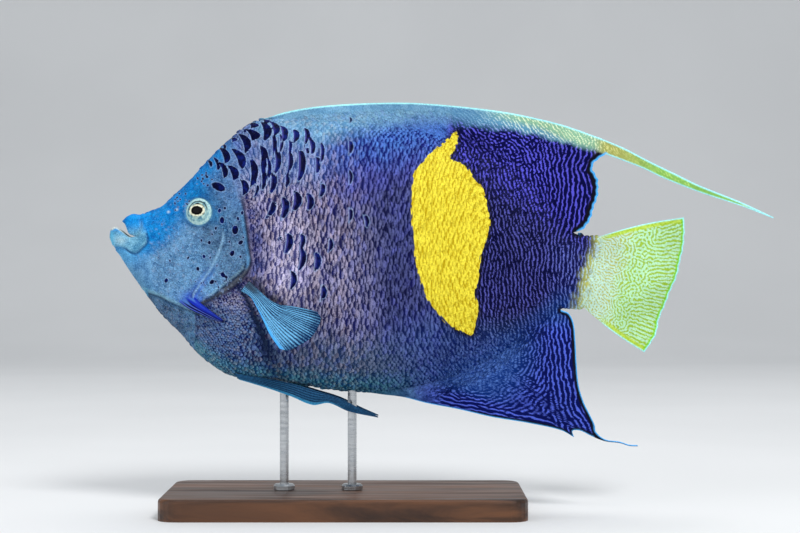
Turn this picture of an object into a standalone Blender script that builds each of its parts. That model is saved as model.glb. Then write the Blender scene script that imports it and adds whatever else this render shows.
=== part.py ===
"""A halfmoon angelfish at life size, held over a flat base by two short rods.

The fish swims towards -X. Its middle plane is y = 0, its right side is +Y and
its left side is -Y. Side-view outlines are in millimetres: x runs from the
middle of the base towards the tail, and z is the height above the floor.
"""
import math

import bmesh
import bpy
import numpy as np
from mathutils import Vector

MM = 0.001
GAP = 0.3                       # clearance between pieces that touch
MERGE = 0.02                    # points closer than this are one point

# Trunk and head, seen from the side
SNOUT_X = -131.8
SNOUT_Z = 153.4
SNOUT_ROUND = 7.8               # length over which the snout rounds off
BACK = [(-131.8, 158.3), (-128.6, 159.2), (-124.5, 162.7), (-122.0, 165.0), (-118.7, 166.3),
        (-115.1, 166.0), (-109.2, 168.2), (-103.6, 170.2), (-97.6, 175.3), (-87.8, 184.5),
        (-75.2, 198.1), (-64.2, 208.5), (-51.6, 217.6), (-42.0, 219.8), (-25.2, 219.4),
        (2.8, 217.6), (30.8, 214.5), (58.8, 208.0), (84.0, 197.6), (103.0, 184.5),
        (115.5, 171.5), (123.5, 160.5), (129.0, 155.6), (134.0, 154.2), (141.7, 153.7)]
BELLY = [(-131.8, 149.2), (-129.4, 146.2), (-126.0, 142.6), (-120.0, 133.6), (-112.2, 122.6),
         (-104.2, 112.1), (-91.4, 98.6), (-81.2, 87.4), (-71.0, 79.4), (-60.8, 75.0),
         (-30.8, 71.6), (-8.4, 68.2), (10.1, 66.6), (30.8, 68.4), (53.2, 73.4),
         (75.6, 82.0), (98.0, 95.5), (112.0, 107.5), (120.4, 113.2), (133.3, 114.0),
         (141.7, 113.4)]
WIDEST = [(-131.8, 153.4), (-114.8, 154.0), (-81.2, 152.9), (-53.2, 149.0), (-14.0, 145.0),
          (30.8, 142.8), (86.8, 139.4), (120.4, 135.0), (141.7, 133.8)]
HALF_WIDTH = [(-131.8, 5.6), (-124.9, 6.6), (-114.8, 8.8), (-104.0, 11.4), (-92.0, 14.6),
              (-78.0, 18.4), (-64.4, 21.4), (-47.6, 23.4), (-25.2, 24.2), (2.8, 23.2),
              (30.8, 20.6), (58.8, 16.9), (86.8, 12.5), (109.2, 8.9), (126.0, 6.2),
              (141.7, 4.0)]
RIDGE_TOP = [(-46.5, 0.0), (-25.2, 1.7), (10.0, 2.5), (58.8, 2.6), (100.0, 2.0),
             (126.0, 1.2), (134.0, 0.5), (141.7, 0.5)]
RIDGE_LOW = [(5.0, 0.0), (25.0, 1.6), (58.8, 2.3), (95.0, 1.9), (118.0, 1.1),
             (128.0, 0.5), (141.7, 0.5)]
FULLNESS_TOP = [(-131.8, 0.5), (-80.0, 0.5), (-40.0, 0.62), (10.0, 0.78), (141.7, 0.8)]
FULLNESS_LOW = [(-131.8, 0.5), (-10.0, 0.5), (35.0, 0.75), (141.7, 0.8)]

# Edge of the gill opening, which parts the head from the trunk
GILL_X = -53.0
GILL_BOW_TOP = 10.0
GILL_BOW_LOW = 31.0
BOW_START = -120.0
BOW_END = 20.0
STALK_X = 104.0                 # the trunk ends and the tail stalk begins
TAIL_X = 137.5                  # the tail fin begins
TAIL_TILT = 4.2

# Head pieces
UPPER_LIP = [(-128.0, 166.0), (-126.0, 171.0), (-115.0, 171.0), (-114.6, 163.0),
             (-114.5, 159.6), (-114.9, 156.4), (-114.9, 153.7), (-117.2, 154.0),
             (-120.0, 154.4), (-121.7, 157.3), (-121.1, 159.7), (-124.8, 163.1)]
LOWER_JAW = [(-136.0, 164.0), (-136.0, 146.4), (-129.0, 147.3), (-123.2, 146.9),
             (-119.3, 144.3), (-117.2, 143.9), (-115.2, 145.2), (-113.7, 146.9),
             (-111.2, 149.2), (-110.6, 152.0), (-114.8, 153.1), (-117.2, 153.4),
             (-120.4, 153.6), (-125.2, 157.5), (-128.7, 159.4), (-132.5, 162.0)]
LIPS_POCKET = [(-140.0, 171.0), (-114.6, 171.0), (-114.1, 163.0), (-114.0, 159.6),
               (-114.7, 156.2), (-114.4, 153.1), (-110.1, 152.4), (-110.8, 149.0),
               (-113.4, 146.6), (-115.0, 144.8), (-117.2, 143.5), (-119.5, 143.9),
               (-123.3, 146.5), (-129.0, 146.9), (-140.0, 146.0)]
EYE_CENTRE = (-82.0, 167.7)
EYE_RADIUS = 8.8
EYE_DEPTH = 5.6                 # half the eye's thickness
EYE_SINK = 3.2                  # from the skin in to the eye's middle
COVER_FRONT_X = -68.5
COVER_TOP = 0.30
COVER_LOW = -0.62
COVER_THICK = 2.2
SPINE_TOP = [(-86.5, 121.6), (-80.0, 115.8), (-73.0, 110.6), (-67.6, 106.6)]
SPINE_LOW = [(-93.3, 117.4), (-86.0, 112.6), (-76.0, 108.0), (-68.2, 105.3)]

# Fins, seen from the side
DORSAL_EDGE = [(-46.5, 220.1), (-25.2, 225.1), (-2.8, 227.6), (30.8, 228.7), (56.6, 227.3),
               (88.5, 223.6), (108.1, 219.7), (123.2, 215.8), (142.8, 208.9)]
DORSAL_ROOT = [(142.8, 208.9), (146.2, 199.9)]
DORSAL_REAR = [(146.2, 199.9), (140.9, 196.4), (138.6, 191.6), (141.8, 184.8), (141.5, 177.5),
               (138.2, 166.3), (134.8, 159.0), (130.6, 156.2)]
DORSAL_BASE = (-46.5, 92.0, 99.0, 128.6)
FILAMENT_TOP = [(143.1, 208.7), (156.8, 203.0), (169.7, 196.3), (185.1, 188.8), (198.8, 182.2),
                (222.3, 172.8), (240.0, 164.5)]
FILAMENT_LOW = [(146.5, 199.7), (157.0, 195.8), (166.9, 191.9), (178.6, 186.3), (198.8, 178.4),
                (222.3, 170.6), (240.0, 163.8)]
ANAL_EDGE = [(10.1, 65.8), (30.8, 64.1), (46.2, 60.3), (62.9, 57.1), (82.3, 52.6),
             (102.8, 49.2), (120.8, 45.2), (128.4, 41.2)]
ANAL_NOTCH = [(128.4, 41.2), (127.4, 44.8), (131.5, 45.0), (136.6, 42.6), (139.2, 41.4)]
ANAL_ROOT = [(139.2, 41.4), (140.3, 44.6)]
ANAL_REAR = [(140.3, 44.6), (139.8, 48.2), (137.5, 53.2), (133.7, 61.0), (131.0, 70.0),
             (129.8, 81.5), (129.1, 94.4), (128.0, 105.2), (125.2, 110.8), (121.4, 112.2)]
ANAL_BASE = (10.1, 78.0, 84.0, 87.0, 120.4)
STRAND_TOP = [(140.7, 44.4), (143.2, 41.6), (146.6, 39.8), (154.0, 38.8), (159.0, 37.2),
              (163.9, 36.9)]
STRAND_LOW = [(139.6, 41.2), (143.0, 39.8), (146.4, 38.8), (154.0, 37.9), (159.0, 36.4),
              (163.9, 36.1)]
TAIL_EDGE = [(167.7, 88.8), (173.6, 98.0), (176.2, 108.0), (181.0, 120.0), (186.0, 132.5),
             (188.4, 143.0), (190.2, 154.6), (189.8, 164.4)]
TAIL_BOW_TOP = 1.3
TAIL_BOW_LOW = 1.4
PECTORAL_TOP = [(-53.6, 128.8), (-46.5, 122.1), (-42.0, 118.2), (-36.4, 115.6), (-29.1, 114.6),
                (-19.6, 112.6), (-15.4, 111.4)]
PECTORAL_EDGE = [(-15.4, 111.4), (-13.6, 108.1), (-15.0, 103.0), (-19.6, 96.5), (-25.2, 93.0),
                 (-31.9, 90.0), (-36.6, 90.9)]
PECTORAL_LOW = [(-58.2, 123.2), (-53.2, 120.2), (-49.8, 114.8), (-45.9, 107.0), (-42.0, 98.8),
                (-36.6, 90.9)]
PECTORAL_SPREAD = 12.0          # how far the edge of the fin stands off the flank
PELVIC_TOP = [(-61.6, 77.0), (-47.6, 74.8), (-30.8, 71.6), (-16.8, 67.4), (-2.8, 63.0),
              (8.4, 57.4), (18.5, 52.9)]
PELVIC_LOW = [(-59.4, 73.6), (-44.8, 69.2), (-30.8, 64.4), (-18.2, 59.4), (-9.0, 60.4),
              (2.0, 55.8), (18.5, 52.3)]
PELVIC_SIDE = 6.5
FIN_EDGE = 0.3                  # half the thickness of a fin at its edge
FIN_LIFT = 0.55                 # height of a fin's foot over the ridge, which is steep in places

# Display stand
BASE_SIZE = (200.0, 96.0, 12.0)
BASE_CORNER = 10.0
BASE_BEVEL = 2.0
ROD_PLACES = (("front", -34.0), ("rear", 4.0))
ROD_RADIUS = 2.5
ROD_INSERT = 10.0               # length of rod inside the belly
COLLAR_RADIUS = 6.0
COLLAR_HEIGHT = 3.0

# Fineness of the facets
HEAD_STATIONS = 18
TRUNK_STATIONS = 22
STALK_STATIONS = 7
BODY_LEVELS = 18
STALK_LEVELS = 10
FIN_LEVELS = 4
ROUND_STEPS = 16
EYE_RINGS = 8


def curve_through(points):
    """Return z(x) as a smooth curve through a few points that never overshoots them."""
    xs, zs = np.array(points, dtype=float).T
    slope = np.diff(zs) / np.diff(xs)
    product = slope[:-1] * slope[1:]
    total = slope[:-1] + slope[1:]
    safe_total = np.where(product > 0, total, 1.0)
    tangent = np.empty(len(xs))
    tangent[1:-1] = np.where(product > 0, 2 * product / safe_total, 0.0)
    tangent[0] = slope[0]
    tangent[-1] = slope[-1]

    def height(x):
        x = np.clip(x, xs[0], xs[-1])
        k = np.clip(np.searchsorted(xs, x) - 1, 0, len(xs) - 2)
        step = xs[k + 1] - xs[k]
        s = (x - xs[k]) / step
        start = (1 + 2 * s) * (1 - s) ** 2 * zs[k] + s * (1 - s) ** 2 * step * tangent[k]
        end = s * s * (3 - 2 * s) * zs[k + 1] + s * s * (s - 1) * step * tangent[k + 1]
        return start + end

    return height


def path_points(points, count):
    """Return count points at even spacing along a smooth path through a few points."""
    knots = np.array(points, dtype=float)
    gaps = np.linalg.norm(np.diff(knots, axis=0), axis=1)
    at = np.concatenate([[0], np.cumsum(gaps)])
    before = np.vstack([2 * knots[0] - knots[1], knots[:-1]])
    after = np.vstack([knots[1:], 2 * knots[-1] - knots[-2]])
    at_before = np.concatenate([[-gaps[0]], at[:-1]])
    at_after = np.concatenate([at[1:], [at[-1] + gaps[-1]]])
    tangent = (after - before) / (at_after - at_before)[:, None]
    along = np.linspace(0, at[-1], count)
    k = np.clip(np.searchsorted(at, along) - 1, 0, len(knots) - 2)
    step = gaps[k][:, None]
    s = ((along - at[k]) / gaps[k])[:, None]
    start = (1 + 2 * s) * (1 - s) ** 2 * knots[k] + s * (1 - s) ** 2 * step * tangent[k]
    end = s * s * (3 - 2 * s) * knots[k + 1] + s * s * (s - 1) * step * tangent[k + 1]
    return start + end


def ease(x, low, high):
    """Rise smoothly from 0 at low to 1 at high."""
    s = np.clip((x - low) / (high - low), 0, 1)
    return s * s * (3 - 2 * s)


back_line = curve_through(BACK)
belly_line = curve_through(BELLY)
widest_line = curve_through(WIDEST)
half_width = curve_through(HALF_WIDTH)
ridge_top = curve_through(RIDGE_TOP)
ridge_low = curve_through(RIDGE_LOW)
fullness_top = curve_through(FULLNESS_TOP)
fullness_low = curve_through(FULLNESS_LOW)


def snout_taper(x):
    """Round the tip of the snout off like the end of an ellipse."""
    s = np.clip((SNOUT_X + SNOUT_ROUND - x) / SNOUT_ROUND, 0, 1)
    return np.sqrt(1 - s * s)


def back(x):
    return SNOUT_Z + (back_line(x) - SNOUT_Z) * snout_taper(x)


def belly(x):
    return SNOUT_Z + (belly_line(x) - SNOUT_Z) * snout_taper(x)


def column_x(station, level):
    """Return the x of a column of the body at a level from -1, the belly, to 1, the back."""
    rise = ease(station, BOW_START, GILL_X)
    bow = rise * (1 - ease(station, GILL_X, BOW_END))
    top = GILL_BOW_TOP * level ** 2
    low = GILL_BOW_LOW * np.abs(level) ** 1.5
    tilt = TAIL_TILT * level * ease(station, STALK_X, TAIL_X)
    return station - bow * np.where(level > 0, top, low) + tilt


def column_z(x, level):
    top = back(x) - widest_line(x)
    low = widest_line(x) - belly(x)
    return widest_line(x) + level * np.where(level > 0, top, low)


def flank_at_level(x, level):
    """Return half the body's width at a place along it and a level."""
    ridge = np.where(level > 0, ridge_top(x), ridge_low(x))
    fullness = np.where(level > 0, fullness_top(x), fullness_low(x))
    crown = np.clip(1 - level * level, 0, 1) ** fullness
    return (ridge + (half_width(x) - ridge) * crown) * snout_taper(x)


def flank(x, z):
    """Return half the body's width at a side-view point."""
    middle = widest_line(x)
    top = (z - middle) / np.maximum(back(x) - middle, MERGE)
    low = (middle - z) / np.maximum(middle - belly(x), MERGE)
    level = np.clip(np.where(z > middle, top, -low), -1, 1)
    return flank_at_level(x, level)


def body_grid(stations, levels):
    """Return x, z and half width over the columns and levels of the body."""
    station, level = np.meshgrid(stations, levels, indexing="ij")
    x = column_x(station, level)
    return x, column_z(x, level), flank_at_level(x, level)


def even_levels(count):
    """Levels from the belly to the back, closest together where the flank turns in."""
    return np.sin(np.linspace(-math.pi / 2, math.pi / 2, count))


def link(name, mesh, material):
    obj = bpy.data.objects.new(name, mesh)
    bpy.context.scene.collection.objects.link(obj)
    if material:
        mesh.materials.append(material)
    return obj


def shell(name, x, z, half, middle, material):
    """Make a closed solid from a side-view grid, half thick to each side of y = middle."""
    columns, rows = x.shape
    middle = np.broadcast_to(middle, x.shape)
    bm = bmesh.new()
    right = [[bm.verts.new((x[i, j] * MM, (middle[i, j] + half[i, j]) * MM, z[i, j] * MM))
              for j in range(rows)] for i in range(columns)]
    left = [[bm.verts.new((x[i, j] * MM, (middle[i, j] - half[i, j]) * MM, z[i, j] * MM))
             for j in range(rows)] for i in range(columns)]
    for i in range(columns - 1):
        for j in range(rows - 1):
            bm.faces.new((right[i][j], right[i][j + 1], right[i + 1][j + 1], right[i + 1][j]))
            bm.faces.new((left[i][j], left[i + 1][j], left[i + 1][j + 1], left[i][j + 1]))
        for j in (0, rows - 1):
            bm.faces.new((left[i][j], left[i + 1][j], right[i + 1][j], right[i][j]))
    for j in range(rows - 1):
        for i in (0, columns - 1):
            bm.faces.new((left[i][j], left[i][j + 1], right[i][j + 1], right[i][j]))
    bmesh.ops.remove_doubles(bm, verts=bm.verts, dist=MERGE * MM)
    bmesh.ops.recalc_face_normals(bm, faces=bm.faces)
    return finish_mesh(name, bm, material)


def finish_mesh(name, bm, material, sharp=math.radians(40)):
    mesh = bpy.data.meshes.new(name)
    bm.to_mesh(mesh)
    bm.free()
    mesh.shade_smooth()
    mesh.set_sharp_from_angle(angle=sharp)
    return link(name, mesh, material)


def prism(name, outline, half_depth):
    """Make a cutter: a side-view outline carried through the fish from side to side."""
    bm = bmesh.new()
    near = [bm.verts.new((x * MM, -half_depth * MM, z * MM)) for x, z in outline]
    face = bm.faces.new(near)
    carried = bmesh.ops.extrude_face_region(bm, geom=[face])
    moved = [item for item in carried["geom"] if isinstance(item, bmesh.types.BMVert)]
    bmesh.ops.translate(bm, verts=moved, vec=(0, 2 * half_depth * MM, 0))
    bmesh.ops.recalc_face_normals(bm, faces=bm.faces)
    return as_cutter(finish_mesh(name, bm, None))


def as_cutter(obj):
    obj.hide_render = True
    obj.display_type = "WIRE"
    return obj


def cut(obj, cutter, operation="DIFFERENCE"):
    modifier = obj.modifiers.new(cutter.name, "BOOLEAN")
    modifier.operation = operation
    modifier.solver = "EXACT"
    modifier.object = cutter


def paint(name, colour, roughness, metallic=0.0):
    material = bpy.data.materials.new(name)
    material.use_nodes = True
    shader = material.node_tree.nodes["Principled BSDF"]
    shader.inputs["Base Color"].default_value = (*colour, 1.0)
    shader.inputs["Roughness"].default_value = roughness
    shader.inputs["Metallic"].default_value = metallic
    return material


def ridge_points(level):
    """Return the facet corners of the trunk and tail stalk along the back or the belly."""
    stations = np.concatenate([trunk_stations(), stalk_stations()])
    x = column_x(stations, np.full(stations.shape, float(level)))
    return x, back(x) if level > 0 else belly(x)


def fin_grid(ridge, lift, breaks, counts, edges):
    """Return a fin's rays, from facet corners of the ridge that it stands on to its edge."""
    ridge_x, ridge_z = ridge
    base, rim = [], []
    for k, edge in enumerate(edges):
        low, high = breaks[k], breaks[k + 1]
        shared = ridge_x[(ridge_x > low) & (ridge_x < high)]
        xs = np.unique(np.concatenate([np.linspace(low, high, counts[k]), shared]))
        spots = path_points(edge, 20 * (counts[k] - 1) + 1)
        share = (xs - low) / (high - low)
        at = np.linspace(0, 1, len(spots))
        rim_x = np.interp(share, at, spots[:, 0])
        rim_z = np.interp(share, at, spots[:, 1])
        first = 1 if k else 0
        base.append(xs[first:])
        rim.append(np.column_stack([rim_x, rim_z])[first:])
    base_x = np.concatenate(base)
    rim = np.concatenate(rim)
    base_z = np.interp(base_x, ridge_x, ridge_z) + lift
    out = np.linspace(0, 1, FIN_LEVELS + 1)[None, :]
    x = base_x[:, None] * (1 - out) + rim[:, 0:1] * out
    z = base_z[:, None] * (1 - out) + rim[:, 1:2] * out
    return base_x, out, x, z


def blade_grid(top, low, columns, rows):
    """Return a grid between two side-view edges that run the same way."""
    upper = path_points(top, columns)
    lower = path_points(low, columns)
    share = np.linspace(0, 1, rows)[None, :]
    x = lower[:, 0:1] * (1 - share) + upper[:, 0:1] * share
    z = lower[:, 1:2] * (1 - share) + upper[:, 1:2] * share
    return x, z


def make_eye_ball(name, side, grow, material):
    """Make a flattened ball that faces straight out of the head."""
    x, z = EYE_CENTRE
    width = float(flank(x, z))
    lean_x = float(flank(x + 1.0, z) - flank(x - 1.0, z)) / 2
    lean_z = float(flank(x, z + 1.0) - flank(x, z - 1.0)) / 2
    normal = Vector((-lean_x, side, -lean_z)).normalized()
    middle = Vector((x, side * width, z)) - normal * EYE_SINK
    bm = bmesh.new()
    bmesh.ops.create_uvsphere(bm, u_segments=ROUND_STEPS, v_segments=EYE_RINGS, radius=1.0)
    size = Vector((EYE_RADIUS + grow, EYE_RADIUS + grow, EYE_DEPTH + grow)) * MM
    bmesh.ops.scale(bm, vec=size, verts=bm.verts)
    obj = finish_mesh(name, bm, material)
    obj.location = middle * MM
    obj.rotation_mode = "QUATERNION"
    obj.rotation_quaternion = normal.to_track_quat("Z", "Y")
    return obj


def make_gill_cover(name, side, material, extra=0.0):
    """Make one gill cover, or with extra clearance the pocket that it lies in."""
    stations = np.linspace(COVER_FRONT_X - extra, GILL_X + (4 * extra if extra else -GAP), 8)
    margin = extra / 60
    levels = np.linspace(COVER_LOW - margin, COVER_TOP + margin, 12)
    x, z, width = body_grid(stations, levels)
    outer = width + 8 * extra
    inner = width - COVER_THICK - extra
    return shell(name, x, z, (outer - inner) / 2, side * (outer + inner) / 2, material)


def make_head(skin):
    """Make the head, with its lips, gill covers and eyes, parted by thin cuts."""
    reach = GILL_X - SNOUT_X
    even = np.linspace(0, 1, HEAD_STATIONS)
    closer_at_snout = 1 - np.cos(even * math.pi / 2)
    stations = SNOUT_X + reach * (0.45 * closer_at_snout + 0.55 * even)
    whole = body_grid(stations, even_levels(BODY_LEVELS))
    head = shell("head", *whole, 0.0, skin)
    cut(head, prism("lips_pocket", LIPS_POCKET, 40))
    for name, outline in (("upper_lip", UPPER_LIP), ("lower_jaw", LOWER_JAW)):
        lip = shell(name, *whole, 0.0, paint(name, (0.30, 0.55, 0.72), 0.45))
        cut(lip, prism(name + "_outline", outline, 40), "INTERSECT")
    for side_name, side in (("left", -1), ("right", 1)):
        pocket = as_cutter(make_gill_cover("cover_pocket_" + side_name, side, None, GAP))
        cut(head, pocket)
        cover_paint = paint("gill_cover_" + side_name, (0.13, 0.22, 0.36), 0.45)
        make_gill_cover("gill_cover_" + side_name, side, cover_paint)
        socket = as_cutter(make_eye_ball("eye_socket_" + side_name, side, GAP, None))
        cut(head, socket)
        make_eye_ball("eye_" + side_name, side, 0.0, paint("eye", (0.72, 0.78, 0.70), 0.12))
        make_cheek_spine("cheek_spine_" + side_name, side)


def make_cheek_spine(name, side):
    """Make the long spine of the cheek, which lies back along the throat."""
    x, z = blade_grid(SPINE_TOP, SPINE_LOW, 9, 5)
    along = np.linspace(0, 1, 9)[:, None]
    across = np.linspace(-1, 1, 5)[None, :]
    half = (0.35 + 0.85 * (1 - 0.7 * along) * (1 - across ** 2))
    stand_off = flank(x, z).max(axis=1, keepdims=True) + GAP + 0.2 + 1.5 * along
    shell(name, x, z, half, side * (stand_off + half), paint("cheek_spine", (0.02, 0.05, 0.45), 0.3))


def trunk_stations():
    return np.linspace(GILL_X + GAP, STALK_X - GAP / 2, TRUNK_STATIONS)


def stalk_stations():
    return np.linspace(STALK_X + GAP / 2, TAIL_X, STALK_STATIONS)


def make_trunk(skin):
    """Make the trunk, with the two holes for the rods, and the tail stalk behind it."""
    trunk = shell("trunk", *body_grid(trunk_stations(), even_levels(BODY_LEVELS)), 0.0, skin)
    for place, x in ROD_PLACES:
        top = float(belly(x)) + ROD_INSERT + GAP
        bm = bmesh.new()
        bmesh.ops.create_cone(bm, cap_ends=True, segments=ROUND_STEPS, depth=2 * ROD_INSERT * MM,
                              radius1=(ROD_RADIUS + GAP) * MM, radius2=(ROD_RADIUS + GAP) * MM)
        hole = as_cutter(finish_mesh("rod_hole_" + place, bm, None))
        hole.location = (x * MM, 0, (top - ROD_INSERT) * MM)
        cut(trunk, hole)
    stalk_paint = paint("tail_stalk", (0.05, 0.07, 0.22), 0.5)
    shell("tail_stalk", *body_grid(stalk_stations(), even_levels(STALK_LEVELS)), 0.0, stalk_paint)


def make_middle_fins():
    """Make the fins that stand on the fish's middle plane."""
    navy = paint("middle_fin", (0.03, 0.04, 0.22), 0.5)
    yellow = paint("tail_fin", (0.45, 0.62, 0.30), 0.5)
    edges = (DORSAL_EDGE, DORSAL_ROOT, DORSAL_REAR)
    base_x, out, x, z = fin_grid(ridge_points(1), FIN_LIFT, DORSAL_BASE, (9, 3, 8), edges)
    base_half = np.maximum(ridge_top(base_x), FIN_EDGE)[:, None]
    half = FIN_EDGE + (base_half - FIN_EDGE) * (1 - out) ** 1.2
    shell("dorsal_fin", x, z, half, 0.0, navy)
    edges = (ANAL_EDGE, ANAL_NOTCH, ANAL_ROOT, ANAL_REAR)
    base_x, out, x, z = fin_grid(ridge_points(-1), -FIN_LIFT, ANAL_BASE, (6, 7, 2, 9), edges)
    base_half = np.maximum(ridge_low(base_x), FIN_EDGE)[:, None]
    half = FIN_EDGE + (base_half - FIN_EDGE) * (1 - out) ** 1.2
    shell("anal_fin", x, z, half, 0.0, navy)
    for name, top, low, colour in (("dorsal_filament", FILAMENT_TOP, FILAMENT_LOW, yellow),
                                   ("anal_filament", STRAND_TOP, STRAND_LOW, navy)):
        x, z = blade_grid(top, low, 12, 4)
        shell(name, x, z, np.full(x.shape, 1.2 * FIN_EDGE), 0.0, colour)
    make_tail_fin(yellow)


def make_tail_fin(material):
    levels = even_levels(STALK_LEVELS)
    base_x, base_z, base_half = body_grid(np.array([TAIL_X + GAP]), levels)
    rim = path_points(TAIL_EDGE, len(levels))
    out = np.linspace(0, 1, 7)[:, None]
    height = np.linspace(0, 1, len(levels))[None, :]
    x = base_x * (1 - out) + rim[:, 0] * out
    z = base_z * (1 - out) + rim[:, 1] * out
    swell = np.sin(math.pi * out)
    z = z + swell * (TAIL_BOW_TOP * height - TAIL_BOW_LOW * (1 - height))
    half = FIN_EDGE + (np.maximum(base_half, FIN_EDGE) - FIN_EDGE) * (1 - out) ** 1.6
    shell("tail_fin", x, z, half, 0.0, material)


def make_paired_fins():
    """Make the pectoral and pelvic fins of both sides."""
    blue = paint("paired_fin", (0.10, 0.33, 0.55), 0.45)
    upper = path_points(PECTORAL_TOP, 8)
    lower = path_points(PECTORAL_LOW, 8)
    rim = path_points(PECTORAL_EDGE, 9)
    share = np.linspace(0, 1, 9)[None, :]
    out = np.linspace(0, 1, 8)[:, None]
    x = coons(upper[:, 0], lower[:, 0], rim[:, 0], share, out)
    z = coons(upper[:, 1], lower[:, 1], rim[:, 1], share, out)
    half = FIN_EDGE + 1.5 * (1 - out) ** 2 * np.sin(math.pi * (0.08 + 0.84 * share))
    stand_off = flank(x, z) + GAP + half + PECTORAL_SPREAD * out ** 1.3
    pelvic_x, pelvic_z = blade_grid(PELVIC_TOP, PELVIC_LOW, 14, 5)
    along = np.linspace(0, 1, 14)[:, None]
    across = np.linspace(-1, 1, 5)[None, :]
    pelvic_half = FIN_EDGE + 1.1 * (1 - along) * (1 - 0.8 * across ** 2)
    clear_of_belly = flank(pelvic_x, np.maximum(pelvic_z, belly(pelvic_x))) + GAP + pelvic_half
    pelvic_off = np.maximum(PELVIC_SIDE, clear_of_belly)
    for side_name, side in (("left", -1), ("right", 1)):
        shell("pectoral_fin_" + side_name, x, z, half, side * stand_off, blue)
        shell("pelvic_fin_" + side_name, pelvic_x, pelvic_z, pelvic_half, side * pelvic_off, blue)


def coons(upper, lower, rim, share, out):
    """Blend a fan of rays between its two side edges and its far edge."""
    sides = upper[:, None] * (1 - share) + lower[:, None] * share
    far = rim[None, :]
    far_of_sides = upper[-1] * (1 - share) + lower[-1] * share
    return sides + out * (far - far_of_sides)


def make_stand():
    length, depth, height = BASE_SIZE
    wood = paint("stand_base", (0.07, 0.035, 0.018), 0.4)
    steel = paint("stand_rod", (0.62, 0.62, 0.63), 0.3, 1.0)
    bm = bmesh.new()
    bmesh.ops.create_cube(bm, size=1.0)
    bmesh.ops.scale(bm, vec=Vector(BASE_SIZE) * MM, verts=bm.verts)
    upright = [edge for edge in bm.edges
               if abs(edge.verts[0].co.z - edge.verts[1].co.z) > height * MM / 2]
    bmesh.ops.bevel(bm, geom=upright, offset=BASE_CORNER * MM, segments=5, profile=0.5,
                    affect="EDGES")
    rim = [edge for edge in bm.edges
           if min(edge.verts[0].co.z, edge.verts[1].co.z) > height * MM * 0.49]
    bmesh.ops.bevel(bm, geom=rim, offset=BASE_BEVEL * MM, segments=3, profile=0.5,
                    affect="EDGES")
    base = finish_mesh("stand_base", bm, wood)
    base.location = (0, 0, height / 2 * MM)
    for place, x in ROD_PLACES:
        bottom = height + GAP
        top = float(belly(x)) + ROD_INSERT
        profile = [(0, bottom), (COLLAR_RADIUS, bottom), (COLLAR_RADIUS, bottom + 2),
                   (COLLAR_RADIUS - 1, bottom + COLLAR_HEIGHT), (ROD_RADIUS, bottom + COLLAR_HEIGHT),
                   (ROD_RADIUS, top), (0, top)]
        bm = bmesh.new()
        ring = [bm.verts.new((r * MM, 0, z * MM)) for r, z in profile]
        sides = [bm.edges.new(pair) for pair in zip(ring[:-1], ring[1:])]
        bmesh.ops.spin(bm, geom=ring + sides, axis=(0, 0, 1), cent=(0, 0, 0),
                       angle=2 * math.pi, steps=ROUND_STEPS, use_merge=True)
        bmesh.ops.remove_doubles(bm, verts=bm.verts, dist=MERGE * MM)
        bmesh.ops.recalc_face_normals(bm, faces=bm.faces)
        rod = finish_mesh("stand_rod_" + place, bm, steel)
        rod.location = (x * MM, 0, 0)


def main():
    for obj in list(bpy.data.objects):
        bpy.data.objects.remove(obj, do_unlink=True)
    make_head(paint("head", (0.10, 0.26, 0.45), 0.45))
    make_trunk(paint("trunk", (0.10, 0.11, 0.24), 0.5))
    make_middle_fins()
    make_paired_fins()
    make_stand()


main()
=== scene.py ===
"""The looks of the halfmoon angelfish model: one skin with its middle fins, the scales over it,
the eyes, cheek spines and paired fins, and the finish of the display stand.

The fish swims towards -X and its left side, -Y, faces the camera. Lengths are in millimetres
until a mesh is made. A side-view point is (x, z), with z the height above the floor. Colours are
written as 0 to 255 sRGB values and turned into linear light by tone().
"""
import math

import bpy
import numpy as np
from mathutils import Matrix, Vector


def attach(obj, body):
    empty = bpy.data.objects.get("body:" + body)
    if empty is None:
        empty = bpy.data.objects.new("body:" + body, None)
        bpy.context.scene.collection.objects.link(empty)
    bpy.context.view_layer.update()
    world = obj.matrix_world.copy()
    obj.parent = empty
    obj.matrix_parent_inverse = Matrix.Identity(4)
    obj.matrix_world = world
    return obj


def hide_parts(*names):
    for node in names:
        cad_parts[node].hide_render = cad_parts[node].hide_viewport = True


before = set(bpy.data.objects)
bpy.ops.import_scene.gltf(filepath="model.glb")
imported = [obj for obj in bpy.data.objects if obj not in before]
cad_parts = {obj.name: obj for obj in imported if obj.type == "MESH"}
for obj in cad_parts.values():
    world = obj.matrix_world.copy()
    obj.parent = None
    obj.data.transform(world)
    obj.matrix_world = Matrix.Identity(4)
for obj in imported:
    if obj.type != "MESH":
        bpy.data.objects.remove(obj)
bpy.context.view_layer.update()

MM = 0.001
BODY = "root"
SEED = 1704
SKIN_NODES = ("head", "upper_lip", "lower_jaw", "gill_cover_left", "gill_cover_right", "trunk",
              "tail_stalk", "dorsal_fin", "dorsal_filament", "anal_fin", "anal_filament",
              "tail_fin")

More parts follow.
